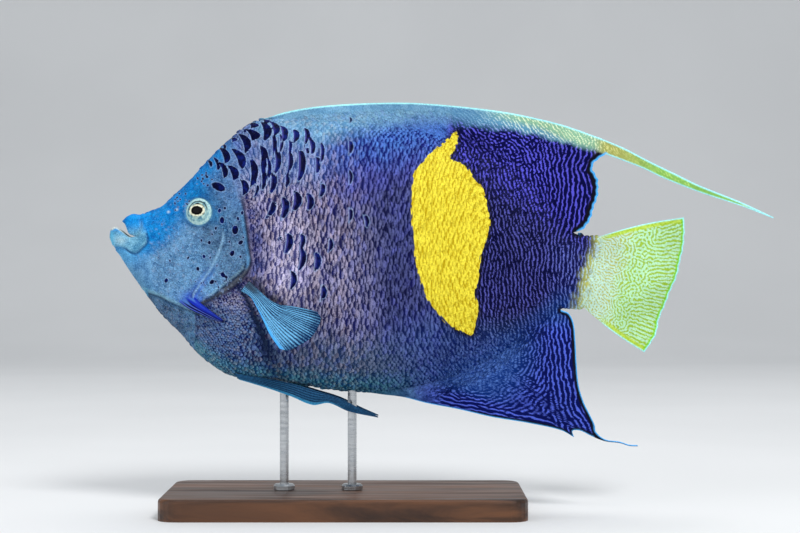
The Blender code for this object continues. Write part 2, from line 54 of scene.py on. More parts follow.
# Outlines of the fish, the same as the solids have
SNOUT_X = -131.8
SNOUT_Z = 153.4
SNOUT_ROUND = 7.8
BACK = [(-131.8, 158.3), (-128.6, 159.2), (-124.5, 162.7), (-122.0, 165.0), (-118.7, 166.3),
        (-115.1, 166.0), (-109.2, 168.2), (-103.6, 170.2), (-97.6, 175.3), (-87.8, 184.5),
        (-75.2, 198.1), (-64.2, 208.5), (-51.6, 217.6), (-42.0, 219.8), (-25.2, 219.4),
        (2.8, 217.6), (30.8, 214.5), (58.8, 208.0), (84.0, 197.6), (103.0, 184.5),
        (115.5, 171.5), (123.5, 160.5), (129.0, 155.6), (134.0, 154.2), (141.7, 153.7)]
BELLY = [(-131.8, 149.2), (-129.4, 146.2), (-126.0, 142.6), (-120.0, 133.6), (-112.2, 122.6),
         (-104.2, 112.1), (-91.4, 98.6), (-81.2, 87.4), (-71.0, 79.4), (-60.8, 75.0),
         (-30.8, 71.6), (-8.4, 68.2), (10.1, 66.6), (30.8, 68.4), (53.2, 73.4),
         (75.6, 82.0), (98.0, 95.5), (112.0, 107.5), (120.4, 113.2), (133.3, 114.0),
         (141.7, 113.4)]
WIDEST = [(-131.8, 153.4), (-114.8, 154.0), (-81.2, 152.9), (-53.2, 149.0), (-14.0, 145.0),
          (30.8, 142.8), (86.8, 139.4), (120.4, 135.0), (141.7, 133.8)]
HALF_WIDTH = [(-131.8, 5.6), (-124.9, 6.6), (-114.8, 8.8), (-104.0, 11.4), (-92.0, 14.6),
              (-78.0, 18.4), (-64.4, 21.4), (-47.6, 23.4), (-25.2, 24.2), (2.8, 23.2),
              (30.8, 20.6), (58.8, 16.9), (86.8, 12.5), (109.2, 8.9), (126.0, 6.2),
              (141.7, 4.0)]
RIDGE_TOP = [(-46.5, 0.0), (-25.2, 1.7), (10.0, 2.5), (58.8, 2.6), (100.0, 2.0),
             (126.0, 1.2), (134.0, 0.5), (141.7, 0.5)]
RIDGE_LOW = [(5.0, 0.0), (25.0, 1.6), (58.8, 2.3), (95.0, 1.9), (118.0, 1.1),
             (128.0, 0.5), (141.7, 0.5)]
FULLNESS_TOP = [(-131.8, 0.5), (-80.0, 0.5), (-40.0, 0.62), (10.0, 0.78), (141.7, 0.8)]
FULLNESS_LOW = [(-131.8, 0.5), (-10.0, 0.5), (35.0, 0.75), (141.7, 0.8)]
GILL_X = -53.0
GILL_BOW_TOP = 10.0
GILL_BOW_LOW = 31.0
BOW_START = -120.0
BOW_END = 20.0
STALK_X = 104.0
TAIL_X = 137.5
TAIL_TILT = 4.2
EYE_CENTRE = (-82.0, 167.7)
EYE_RADIUS = 8.8
EYE_DEPTH = 5.6
EYE_SINK = 3.2
EYE_SEEN = 7.2                  # radius of the part of the eye that shows
SPINE_TOP = [(-86.5, 121.6), (-80.0, 115.8), (-73.0, 110.6), (-67.6, 106.6)]
SPINE_LOW = [(-93.3, 117.4), (-86.0, 112.6), (-76.0, 108.0), (-68.2, 105.3)]
DORSAL_EDGE = [(-46.5, 220.1), (-25.2, 225.1), (-2.8, 227.6), (30.8, 228.7), (56.6, 227.3),
               (88.5, 223.6), (108.1, 219.7), (123.2, 215.8), (142.8, 208.9)]
DORSAL_ROOT = [(142.8, 208.9), (146.2, 199.9)]
DORSAL_REAR_LINE = [(146.2, 199.9), (140.9, 196.4), (138.6, 191.6), (141.8, 184.8), (141.5, 177.5),
                    (138.2, 166.3), (134.8, 159.0), (130.6, 156.2)]
BAND_EDGE = [(-70.0, 211.0), (-40.0, 208.0), (-16.0, 204.5), (1.0, 209.5), (27.0, 215.5),
             (48.0, 217.8), (62.0, 217.0), (77.0, 215.3), (100.0, 212.4), (116.0, 208.3),
             (132.0, 204.4), (143.0, 201.0), (160.0, 180.0)]
DORSAL_BASE = (-46.5, 92.0, 99.0, 128.6)
FILAMENT_TOP = [(142.8, 208.9), (156.8, 203.0), (169.7, 196.3), (185.1, 188.8), (198.8, 182.2),
                (222.3, 172.8), (240.0, 164.5)]
FILAMENT_LOW = [(146.2, 199.9), (157.0, 195.8), (166.9, 191.9), (178.6, 186.3), (198.8, 178.4),
                (222.3, 170.6), (240.0, 163.8)]
ANAL_EDGE = [(10.1, 65.8), (30.8, 64.1), (46.2, 60.3), (62.9, 57.1), (82.3, 52.6),
             (102.8, 49.2), (120.8, 45.2), (128.4, 41.2)]
ANAL_NOTCH = [(128.4, 41.2), (127.4, 44.8), (131.5, 45.0), (136.6, 42.6), (139.2, 41.4)]
ANAL_ROOT = [(139.2, 41.4), (140.3, 44.6)]
ANAL_REAR = [(140.3, 44.6), (139.8, 48.2), (137.5, 53.2), (133.7, 61.0), (131.0, 70.0),
             (129.8, 81.5), (129.1, 94.4), (128.0, 105.2), (125.2, 110.8), (121.4, 112.2)]
ANAL_BASE = (10.1, 78.0, 84.0, 87.0, 120.4)
STRAND_TOP = [(140.3, 44.6), (143.2, 41.6), (146.6, 39.8), (154.0, 38.8), (159.0, 37.2),
              (163.9, 36.9)]
STRAND_LOW = [(139.2, 41.4), (143.0, 39.8), (146.4, 38.8), (154.0, 37.9), (159.0, 36.4),
              (163.9, 36.1)]
TAIL_EDGE_LINE = [(167.7, 88.8), (173.6, 98.0), (176.2, 108.0), (181.0, 120.0), (186.0, 132.5),
                  (188.4, 143.0), (190.2, 154.6), (189.8, 164.4)]
TAIL_BOW_TOP = 1.3
TAIL_BOW_LOW = 1.4
PECTORAL_TOP = [(-53.6, 128.8), (-46.5, 122.1), (-42.0, 118.2), (-36.4, 115.6), (-29.1, 114.6),
                (-19.6, 112.6), (-15.4, 111.4)]
PECTORAL_EDGE = [(-15.4, 111.4), (-13.6, 108.1), (-15.0, 103.0), (-19.6, 96.5), (-25.2, 93.0),
                 (-31.9, 90.0), (-36.6, 90.9)]
PECTORAL_LOW = [(-58.2, 123.2), (-53.2, 120.2), (-49.8, 114.8), (-45.9, 107.0), (-42.0, 98.8),
                (-36.6, 90.9)]
PECTORAL_SPREAD = 12.0
PELVIC_TOP = [(-61.6, 77.0), (-47.6, 74.8), (-30.8, 71.6), (-16.8, 67.4), (-2.8, 63.0),
              (8.4, 57.4), (18.5, 52.9)]
PELVIC_LOW = [(-59.4, 73.6), (-44.8, 69.2), (-30.8, 64.4), (-18.2, 59.4), (-9.0, 60.4),
              (2.0, 55.8), (18.5, 52.3)]
PELVIC_SIDE = 6.5
FIN_EDGE = 0.3
GAP = 0.3

# The markings are drawn as seen from straight beside this point, from this far off
DRAWING_MIDDLE = (30.8, 136.9)
DRAWING_REACH = 1058.0

# Folds and grooves of the head, and paths of painted shade by the pectoral fin, seen from the side
UPPER_LIP_EDGE = [(-115.0, 154.0), (-118.0, 154.2), (-120.4, 155.2), (-121.6, 157.8),
                  (-122.8, 160.4), (-124.7, 162.1)]
# Path of painted shade in the pit above the pectoral fin's root
AXIL_SHADE = [(-51.5, 129.5), (-44.0, 121.5), (-36.5, 116.8)]
# Path of the band of painted shadow that the pectoral fin casts down the flank
PECTORAL_SHADOW = [(-58.5, 124.5), (-54.0, 116.0), (-49.2, 105.0), (-45.2, 94.5), (-41.0, 84.0),
                   (-38.0, 74.0)]
LOWER_LIP_EDGE = [(-115.0, 154.0), (-117.6, 153.3), (-120.6, 153.8), (-125.2, 157.2),
                  (-128.6, 158.9), (-130.8, 157.8), (-131.8, 154.6)]
UPPER_LIP_FOLD = [(-117.2, 168.0), (-115.1, 165.8), (-114.2, 159.6), (-115.1, 156.2),
                  (-116.2, 153.8)]
LOWER_LIP_FOLD = [(-133.0, 148.0), (-129.4, 147.6), (-123.2, 146.9), (-121.2, 145.4),
                  (-119.3, 144.3), (-117.2, 144.0), (-115.2, 145.2), (-113.7, 146.9),
                  (-111.2, 149.2), (-110.3, 151.8), (-111.0, 155.0)]
PREOPERCLE = [(-69.0, 160.0), (-68.3, 153.4), (-70.6, 145.5), (-74.9, 136.3), (-80.1, 128.4),
              (-82.8, 124.4), (-84.9, 120.9), (-84.2, 118.2), (-81.6, 117.4), (-78.0, 118.6)]
OPERCLE_LOW = [(-78.0, 118.6), (-74.4, 120.3), (-68.6, 124.9), (-61.2, 130.6), (-56.9, 134.6),
               (-55.2, 140.0), (-55.4, 147.0), (-56.6, 158.0), (-58.6, 168.0)]
GILL_EDGE = [(-84.0, 113.4), (-80.1, 115.5), (-65.8, 123.4), (-60.3, 127.3), (-54.9, 133.6),
             (-52.8, 139.1), (-53.6, 145.4), (-56.0, 163.5), (-63.3, 207.8)]
THROAT_FOLD = [(-114.5, 123.4), (-112.6, 122.6), (-105.2, 120.1), (-97.2, 116.3), (-90.6, 113.4),
               (-82.0, 109.8)]
NOSTRILS = [(-98.9, 167.5), (-94.2, 168.8)]

# The half-moon patch, clockwise from its tip
MOON = [(62.4, 212.4), (55.9, 206.8), (46.2, 198.5), (40.3, 192.1), (37.9, 184.4), (37.0, 174.2),
        (37.5, 163.7), (38.5, 152.3), (39.8, 140.6), (42.4, 129.1), (47.5, 116.2), (53.8, 108.6),
        (58.2, 104.2), (66.6, 100.2), (70.6, 98.8), (73.2, 105.9), (74.5, 111.0), (73.2, 122.6),
        (75.0, 132.9), (76.7, 145.8), (79.5, 153.4), (80.9, 161.3), (79.5, 171.5), (77.1, 180.5),
        (72.0, 187.0), (66.6, 194.0), (58.5, 197.2), (59.8, 199.8), (62.2, 204.4), (63.2, 208.1)]

# Dark marks of the nape and flank: x of a column, then the height, width and length of each mark
NAPE_MARKS = [
    (-75.3, [(194.6, 2.2, 4.2, 0.4)]),
    (-71.3, [(194.6, 2.8, 6.8, 0.4)]),
    (-67.6, [(191.0, 3.8, 8.6, 0.35), (204.2, 2.2, 4.0, 0.4)]),
    (-66.8, [(199.2, 5.0, 8.6, 0.4)]),
    (-62.0, [(189.5, 5.4, 8.2, 0.45), (208.1, 3.8, 2.6, 0.5)]),
    (-58.5, [(197.2, 6.4, 11.4, 0.35)]),
    (-56.0, [(181.5, 4.8, 9.0, 0.2), (213.0, 2.6, 2.4, 0.3)]),
    (-55.3, [(206.0, 5.6, 10.2, 0.4)]),
    (-51.0, [(189.5, 4.4, 15.4, 0.05), (210.8, 6.4, 6.4, 0.7), (216.0, 5.2, 3.2, 0.5)]),
    (-49.3, [(179.2, 1.9, 7.2, -0.2)]),
    (-45.4, [(197.0, 3.8, 16.0, 0.0), (185.4, 2.5, 11.8, 0.0)]),
    (-43.8, [(212.6, 4.4, 10.0, 0.15), (218.2, 3.6, 2.2, 0.4)]),
    (-42.4, [(191.2, 2.2, 12.0, 0.0)]),
    (-40.1, [(183.2, 3.2, 11.5, -0.1)]),
    (-39.6, [(205.0, 2.3, 12.6, 0.0)]),
    (-38.8, [(214.2, 3.8, 7.6, 0.3)]),
    (-37.6, [(195.3, 3.2, 12.4, 0.0)]),
    (-35.5, [(206.0, 1.9, 9.6, 0.0)]),
    (-33.8, [(211.4, 3.3, 8.8, 0.1)]),
    (-32.3, [(184.9, 2.3, 7.6, 0.0)]),
    (-30.6, [(195.3, 2.7, 12.4, 0.0), (204.4, 2.0, 6.6, 0.0)]),
    (-27.5, [(210.2, 3.4, 7.8, 0.1)]),
    (-24.3, [(193.4, 3.8, 18.0, 0.0)]),
    (-21.2, [(202.4, 2.0, 5.2, 0.4), (210.2, 2.6, 8.4, 0.0)]),
    (-18.1, [(204.0, 2.8, 9.4, 0.1)]),
    (-15.1, [(193.6, 2.5, 10.4, 0.0)]),
    (-12.6, [(200.6, 2.0, 11.6, 0.0), (179.8, 2.7, 9.2, 0.0)]),
    (-41.0, [(168.4, 3.4, 9.4, -0.35)]),
    (-33.6, [(169.4, 3.8, 13.0, -0.1)]),
    (-26.9, [(173.4, 4.4, 11.4, 0.0)]),
    (-19.5, [(172.9, 3.6, 10.2, 0.0)]),
    (-31.4, [(149.9, 3.6, 11.8, -0.1), (141.9, 1.7, 1.8, 0.0)]),
    (-36.3, [(152.5, 1.8, 2.4, 0.0)]),
    (-23.8, [(151.2, 2.5, 9.8, 0.0), (140.4, 3.2, 11.4, -0.12)]),
    (-15.4, [(139.6, 3.2, 10.8, 0.0)]),
    (-8.0, [(148.7, 2.2, 8.4, 0.0)]),
    (-28.9, [(129.2, 3.0, 10.2, -0.12)]),
    (-12.0, [(122.0, 3.1, 9.2, -0.1)]),
    (3.2, [(203.4, 2.2, 8.6, 0.0), (186.7, 1.8, 8.6, 0.0), (166.0, 1.8, 9.0, 0.0),
           (218.9, 1.4, 3.4, 0.0)]),
    (12.2, [(162.6, 2.4, 8.0, 0.15)]),
]
SLANTED_MARK = (-70.9, 181.6, 7.8, 4.2, -0.5)   # centre, length, width and slant

# Round dark spots of the head: centre and radius
HEAD_SPOTS = [(-70.3, 168.1, 0.9), (-67.2, 169.5, 0.8), (-68.9, 162.9, 1.3), (-72.4, 158.3, 0.8),
              (-74.4, 154.8, 0.5), (-76.0, 150.3, 0.8), (-80.4, 151.5, 0.5), (-57.6, 167.0, 0.9),
              (-59.9, 163.7, 0.8), (-61.5, 157.4, 1.7), (-56.9, 153.2, 0.6), (-58.5, 150.3, 1.1),
              (-63.1, 144.3, 1.3), (-58.5, 142.4, 0.7), (-79.0, 142.6, 0.8), (-75.5, 141.7, 0.6),
              (-87.9, 141.7, 0.6), (-82.4, 135.7, 0.9), (-98.1, 140.1, 0.6), (-100.1, 129.2, 1.0),
              (-68.4, 132.2, 1.2), (-66.6, 131.0, 0.8), (-74.4, 128.3, 1.0), (-98.6, 154.0, 0.4),
              (-102.6, 160.4, 0.4), (-90.8, 147.6, 0.4), (-71.8, 137.4, 0.6), (-64.8, 150.8, 0.5)]

# Groups of small specks on the head: centre, spread in x and z, how many, and their radius
HEAD_SPECKS = [(-93.2, 172.6, 6.0, 5.0, 26, 0.42), (-78.8, 185.2, 4.6, 5.4, 15, 0.52),
               (-70.5, 126.5, 13.0, 6.5, 64, 0.40), (-70.0, 146.0, 8.0, 14.0, 16, 0.33),
               (-98.0, 146.0, 12.0, 14.0, 14, 0.3)]

# Fineness of the meshes
NO_MARK = 4.0                   # distance stored where no mark is near
RIM_REACH = 8.0                 # and where no rim of a fin is
FIELD_STEP = 0.4                # cells of the side-view fields that hold the markings
BODY_ROWS = 141
LIP_COLUMNS = 26
LIP_LEVEL = 0.45                # above this the lower lip grows no thinner
COLUMN_STEPS = ((-115.0, -56.0, 0.62), (-56.0, -46.0, 0.35), (-46.0, 48.0, 1.1),
                (48.0, 78.0, 0.65), (78.0, TAIL_X, 0.45))
FIN_ROWS = 74
TAIL_COLUMNS = 100
FILAMENT_COLUMNS = 120
STRAND_COLUMNS = 60
EDGE_SAMPLES = 400
LIP_SAMPLES = 200
EYE_PITCH = 96                  # points round the eye
EYE_RINGS = 60
WELD_STEP = 0.004               # points closer than this become one
WELD_SPAN = 400003              # more such steps than the fish is long
COAT_DEPTH = 0.35               # the scales stand this far out from the skin
SCALE_SINK = 0.03               # and their roots reach this far into it

# Grid and filters that the winding lines grow on
MAZE_STEP = 0.4
MAZE_LOW = (20.0, 34.0)
MAZE_SIZE = (440, 490)
MAZE_ANGLES = 12
MAZE_PITCHES = (1.6, 2.1, 2.7, 3.4)
MAZE_ROUNDS = 7
FAN_CENTRE = (72.0, 92.0)       # the lines of the anal fin run in arcs round this point

# Places across and along a scale where its points lie, from root to tip and from side to side
LONG_FORM = ((0.0, 0.32, 0.43, 0.54, 0.67, 0.84, 1.0), (-1.0, -0.4, 0.4, 1.0))
FINE_FORM = ((0.0, 0.36, 0.50, 0.62, 0.74, 0.87, 1.0), (-1.0, -0.4, 0.4, 1.0))
SMALL_FORM = ((0.0, 0.55, 1.0), (-1.0, -0.35, 0.35, 1.0))
HEAD_FORM = ((0.0, 0.48, 0.74, 1.0), (-1.0, 0.0, 1.0))
FLANK_PIECES = (("front", -78.0, -27.0), ("side", -27.0, 6.0), ("middle", 6.0, 36.0),
                ("patch", 36.0, 66.0), ("rear", 66.0, 96.0), ("stalk", 96.0, 138.0))

# The unwrap of the skin: where it starts and how large it is
MAP_MIDDLE_Z = 134.0
MAP_SHIFT = (137.0, 134.0)
MAP_SIZE = (390.0, 560.0)

# Camera and lights, in metres and watts
CAMERA_PLACE = (0.0308, -1.058, 0.1369)
CAMERA_LENS = 85.0
LIGHTS = (("key_light", (0.55, -1.25, 1.55), (0.0, 0.0, 0.14), 0.6, 24.0),
          ("fill_light", (-1.5, -1.2, 0.7), (-0.05, 0.0, 0.14), 1.4, 8.0),
          ("top_light", (0.0, 0.5, 1.8), (0.0, 0.0, 0.1), 1.2, 12.0))


# Curves and outline functions, as in the solids
def curve_through(points):
    """Return z(x) as a smooth curve through a few points that never overshoots them."""
    xs, zs = np.array(points, dtype=float).T
    slope = np.diff(zs) / np.diff(xs)
    product = slope[:-1] * slope[1:]
    total = slope[:-1] + slope[1:]
    tangent = np.empty(len(xs))
    tangent[1:-1] = np.where(product > 0, 2 * product / np.where(product > 0, total, 1.0), 0.0)
    tangent[0] = slope[0]
    tangent[-1] = slope[-1]

    def height(x):
        x = np.clip(x, xs[0], xs[-1])
        k = np.clip(np.searchsorted(xs, x) - 1, 0, len(xs) - 2)
        step = xs[k + 1] - xs[k]
        s = (x - xs[k]) / step
        start = (1 + 2 * s) * (1 - s) ** 2 * zs[k] + s * (1 - s) ** 2 * step * tangent[k]
        end = s * s * (3 - 2 * s) * zs[k + 1] + s * s * (s - 1) * step * tangent[k + 1]
        return start + end

    return height


def path_points(points, count):
    """Return count points at even spacing along a smooth path through a few points."""
    knots = np.array(points, dtype=float)
    gaps = np.linalg.norm(np.diff(knots, axis=0), axis=1)
    at = np.concatenate([[0], np.cumsum(gaps)])
    before = np.vstack([2 * knots[0] - knots[1], knots[:-1]])
    after = np.vstack([knots[1:], 2 * knots[-1] - knots[-2]])
    at_before = np.concatenate([[-gaps[0]], at[:-1]])
    at_after = np.concatenate([at[1:], [at[-1] + gaps[-1]]])
    tangent = (after - before) / (at_after - at_before)[:, None]
    along = np.linspace(0, at[-1], count)
    k = np.clip(np.searchsorted(at, along) - 1, 0, len(knots) - 2)
    step = gaps[k][:, None]
    s = ((along - at[k]) / gaps[k])[:, None]
    start = (1 + 2 * s) * (1 - s) ** 2 * knots[k] + s * (1 - s) ** 2 * step * tangent[k]
    end = s * s * (3 - 2 * s) * knots[k + 1] + s * s * (s - 1) * step * tangent[k + 1]
    return start + end


def ragged(path, count, depth):
    """Return a path with small teeth along it that die out at its ends."""
    spots = path_points(path, count)
    run = np.gradient(spots, axis=0)
    run /= np.linalg.norm(run, axis=1, keepdims=True)
    at = np.arange(count)
    tooth = np.where(at % 2 == 0, 1.0, -1.0) * (0.65 + 0.5 * np.sin(at * 2.1))
    tooth = tooth * depth * ease(at, 0.0, 3.0) * ease(-at, 1.0 - count, 4.0 - count)
    spots = spots + np.column_stack([run[:, 1], -run[:, 0]]) * tooth[:, None]
    return [tuple(spot) for spot in spots]


def ease(x, low, high):
    """Rise smoothly from 0 at low to 1 at high."""
    s = np.clip((x - low) / (high - low), 0, 1)
    return s * s * (3 - 2 * s)


def bell(value, width, middle=0.0):
    """Return 1 where a value is at its middle, and fall softly to 0 to both sides."""
    return np.exp(-((value - middle) / width) ** 2)


def bell_round(x, z, centre, size):
    """Return 1 at a centre, and fall softly to 0 round it."""
    return np.exp(-((x - centre[0]) / size[0]) ** 2 - ((z - centre[1]) / size[1]) ** 2)


def gap_to(x, z, centre):
    """Return the distance of side-view points from a centre."""
    return np.hypot(x - centre[0], z - centre[1])


back_line = curve_through(BACK)
belly_line = curve_through(BELLY)
widest_line = curve_through(WIDEST)
half_width = curve_through(HALF_WIDTH)
ridge_top = curve_through(RIDGE_TOP)
ridge_low = curve_through(RIDGE_LOW)
fullness_top = curve_through(FULLNESS_TOP)
fullness_low = curve_through(FULLNESS_LOW)
band_low = curve_through(BAND_EDGE)
DORSAL_REAR = ragged(DORSAL_REAR_LINE, 26, 0.45)
TAIL_EDGE = ragged(TAIL_EDGE_LINE, 30, 0.3)


def snout_taper(x):
    """Return how far the snout's rounding has opened, from 0 at its tip to 1."""
    s = np.clip((SNOUT_X + SNOUT_ROUND - x) / SNOUT_ROUND, 0, 1)
    return np.sqrt(1 - s * s)


def back(x):
    """Return the height of the back."""
    return SNOUT_Z + (back_line(x) - SNOUT_Z) * snout_taper(x)


def belly(x):
    """Return the height of the belly."""
    return SNOUT_Z + (belly_line(x) - SNOUT_Z) * snout_taper(x)


def column_x(station, level):
    """Return the x of a column of the body at a level from -1, the belly, to 1, the back."""
    bow = ease(station, BOW_START, GILL_X) * (1 - ease(station, GILL_X, BOW_END))
    top = GILL_BOW_TOP * level ** 2
    low = GILL_BOW_LOW * np.abs(level) ** 1.5
    tilt = TAIL_TILT * level * ease(station, STALK_X, TAIL_X)
    return station - bow * np.where(level > 0, top, low) + tilt


def column_z(x, level):
    """Return the height of a level of the body."""
    top = back(x) - widest_line(x)
    low = widest_line(x) - belly(x)
    return widest_line(x) + level * np.where(level > 0, top, low)


def level_at(x, z):
    """Return the level of a side-view point, past 1 or -1 outside the body."""
    middle = widest_line(x)
    top = (z - middle) / np.maximum(back(x) - middle, 0.02)
    low = (z - middle) / np.maximum(middle - belly(x), 0.02)
    return np.where(z > middle, top, low)


def flank_at_level(x, level):
    """Return the body's half width at a level."""
    ridge = np.where(level > 0, ridge_top(x), ridge_low(x))
    fullness = np.where(level > 0, fullness_top(x), fullness_low(x))
    crown = np.clip(1 - level * level, 0, 1) ** fullness
    return (ridge + (half_width(x) - ridge) * crown) * snout_taper(x)


def flank(x, z):
    """Return the body's half width at side-view points."""
    return flank_at_level(x, np.clip(level_at(x, z), -1, 1))


def turned(angle, other, weight):
    """Turn one direction of lines towards another the short way round."""
    both = np.exp(2j * angle) * (1 - weight) + np.exp(2j * other) * weight
    return np.angle(both) / 2


def anal_low_z(x):
    """Return the height of the anal fin's lower edge."""
    xs, zs = np.array(ANAL_EDGE).T
    return np.interp(x, xs, zs)


def x_on(upward, z):
    """Return where a path that runs upward stands at a height."""
    xs, zs = np.array(upward).T
    return np.interp(z, zs, xs)


def on_tail_fin(x, z):
    """Return above 0 on the tail fin and below 0 on the body and the other fins."""
    slant = x - 136.5 - 0.26 * (z - 134.0)
    inside = (z > 80.0) & (z < 172.0) & ((z > 101.0) | (x > 141.5)) & (x > 125.0)
    return np.where(inside, slant, -20.0)


# Grids of the skin: x, z and half width over columns and rows
def body_stations():
    """Return the x of the columns of the body's grid, close together at the head."""
    parts = [np.arange(low, high, step) for low, high, step in COLUMN_STEPS]
    return np.append(np.concatenate(parts), TAIL_X)


def body_levels():
    """Return the levels of the body's rows, closer together at belly and back."""
    even = np.linspace(-1, 1, BODY_ROWS)
    return 0.5 * even + 0.5 * np.sin(even * math.pi / 2)


def body_patch():
    """Return the body from snout to tail fin."""
    station, level = np.meshgrid(body_stations(), body_levels(), indexing="ij")
    x = column_x(station, level)
    return np.stack([x, flank_at_level(x, level), column_z(x, level)], axis=-1)


def lip_patch(body, upper):
    """Return the part of the head in front of the mouth's corner, above or below the mouth."""
    middle = BODY_ROWS // 2
    rows = slice(middle, None) if upper else slice(0, middle + 1)
    last = body[0, rows]
    share = 1 - (1 - np.linspace(0, 1, LIP_COLUMNS)) ** 1.6
    mouth = path_points(UPPER_LIP_EDGE if upper else LOWER_LIP_EDGE, LIP_SAMPLES)
    number = np.arange(LIP_SAMPLES)
    mouth_at = np.interp(share, np.linspace(0, 1, LIP_SAMPLES), number)
    mouth = np.column_stack([np.interp(mouth_at, number, mouth[:, k]) for k in (0, 1)])
    front_x = mouth[-1, 0]
    outer_x = last[-1 if upper else 0, 0] + (front_x - last[-1 if upper else 0, 0]) * share
    outer_z = back(outer_x) if upper else belly(outer_x)
    mouth[0] = last[0 if upper else -1, [0, 2]]
    levels = np.abs(body_levels()[rows])
    rise = levels if upper else 1 - levels
    low = mouth if upper else np.column_stack([outer_x, outer_z])
    high = np.column_stack([outer_x, outer_z]) if upper else mouth
    x = low[:, 0:1] * (1 - rise) + high[:, 0:1] * rise
    z = low[:, 1:2] * (1 - rise) + high[:, 1:2] * rise
    from_mouth = np.hypot(x - mouth[:, 0:1], z - mouth[:, 1:2])
    roll = np.sqrt(1 - (1 - np.clip(from_mouth / 2.4, 0, 1)) ** 2)
    roll = 1 - (1 - (0.55 + 0.45 * roll)) * ease(share, 0.0, 0.3)[:, None]
    within = np.maximum(x, SNOUT_X)
    level = np.clip(level_at(within, z), -1, 1 if upper else LIP_LEVEL)
    half = flank_at_level(within, level) * roll
    if upper:
        s = np.clip((front_x + 4.5 - x) / 4.5, 0, 1)
        half = half * np.sqrt(1 - s * s)
    patch = np.stack([x, half, z], axis=-1)
    patch[0] = last
    return patch[::-1]


def rim_of(breaks, edges, base_x):
    """Return the point of a fin's edge that the ray from each place of its base runs to."""
    rim = np.empty((len(base_x), 2))
    for k, edge in enumerate(edges):
        low, high = breaks[k], breaks[k + 1]
        inside = (base_x >= low) & (base_x <= high)
        spots = path_points(edge, EDGE_SAMPLES)
        at = (base_x[inside] - low) / (high - low)
        for axis in (0, 1):
            rim[inside, axis] = np.interp(at, np.linspace(0, 1, EDGE_SAMPLES), spots[:, axis])
    return rim


def fin_patch(body, row, breaks, edges):
    """Return a fin whose rays start at the columns of the body, and the columns it starts at."""
    base = body[:, row]
    columns = np.flatnonzero((base[:, 0] >= breaks[0]) & (base[:, 0] <= breaks[-1]))
    base = base[columns]
    rim = rim_of(breaks, edges, base[:, 0])
    grow = ease(base[:, 0], breaks[0], breaks[0] + 8.0)[:, None]
    shrink = ease(-base[:, 0], -breaks[-1], -breaks[-1] + 1.2)[:, None]
    rim = base[:, [0, 2]] + (rim - base[:, [0, 2]]) * grow * shrink
    out = np.linspace(0, 1, FIN_ROWS)[None, :]
    x = base[:, 0:1] * (1 - out) + rim[:, 0:1] * out
    z = base[:, 2:3] * (1 - out) + rim[:, 1:2] * out
    half = FIN_EDGE + (base[:, 1:2] - FIN_EDGE) * (1 - out) ** 1.2
    patch = np.stack([x, half, z], axis=-1)
    patch[:, 0] = base
    return patch, columns


def tail_patch(body):
    """Return the tail fin, which runs on from the last column of the body."""
    base = body[-1]
    rim = path_points(TAIL_EDGE, BODY_ROWS)
    out = np.linspace(0, 1, TAIL_COLUMNS)[:, None]
    height = np.linspace(0, 1, BODY_ROWS)[None, :]
    x = base[None, :, 0] * (1 - out) + rim[None, :, 0] * out
    z = base[None, :, 2] * (1 - out) + rim[None, :, 1] * out
    z = z + np.sin(math.pi * out) * (TAIL_BOW_TOP * height - TAIL_BOW_LOW * (1 - height))
    half = FIN_EDGE + (np.maximum(base[None, :, 1], FIN_EDGE) - FIN_EDGE) * (1 - out) ** 1.6
    patch = np.stack([x, half, z], axis=-1)
    patch[0] = base
    return patch


def filament_patch(fin, breaks, top, low, count):
    """Return a streamer that runs on from the part of a fin's edge between two breaks."""
    base_x = fin[:, 0, 0]
    rows = np.flatnonzero((base_x >= breaks[0] - 0.3) & (base_x <= breaks[1] + 0.3))
    root = fin[rows, -1]
    upper = path_points(top, count)
    lower = path_points(low, count)
    share = np.linspace(0, 1, len(rows))[None, :]
    first, last = (upper, lower) if root[0, 2] > root[-1, 2] else (lower, upper)
    x = first[:, 0:1] * (1 - share) + last[:, 0:1] * share
    z = first[:, 1:2] * (1 - share) + last[:, 1:2] * share
    fade = (1 - np.linspace(0, 1, count)[:, None]) ** 6
    x = x + (root[None, :, 0] - x[0]) * fade
    z = z + (root[None, :, 2] - z[0]) * fade
    round_edge = np.sqrt(1 - (2 * share - 1) ** 2)
    half = FIN_EDGE * (fade + (1 - fade) * (0.35 + 0.65 * round_edge))
    patch = np.stack([x, half, z], axis=-1)
    patch[0] = root
    return patch, rows


# Side-view fields, worked out by formula on a grid of cells and read between the cells
def between_cells(grid, a, b):
    """Return the value of a grid at cell numbers that may lie between its cells."""
    i, j = a.astype(int), b.astype(int)
    fa, fb = a - i, b - j
    if grid.ndim == 3:
        fa, fb = fa[..., None], fb[..., None]
    near = grid[i, j] * (1 - fa) + grid[i + 1, j] * fa
    far = grid[i, j + 1] * (1 - fa) + grid[i + 1, j + 1] * fa
    return near * (1 - fb) + far * fb


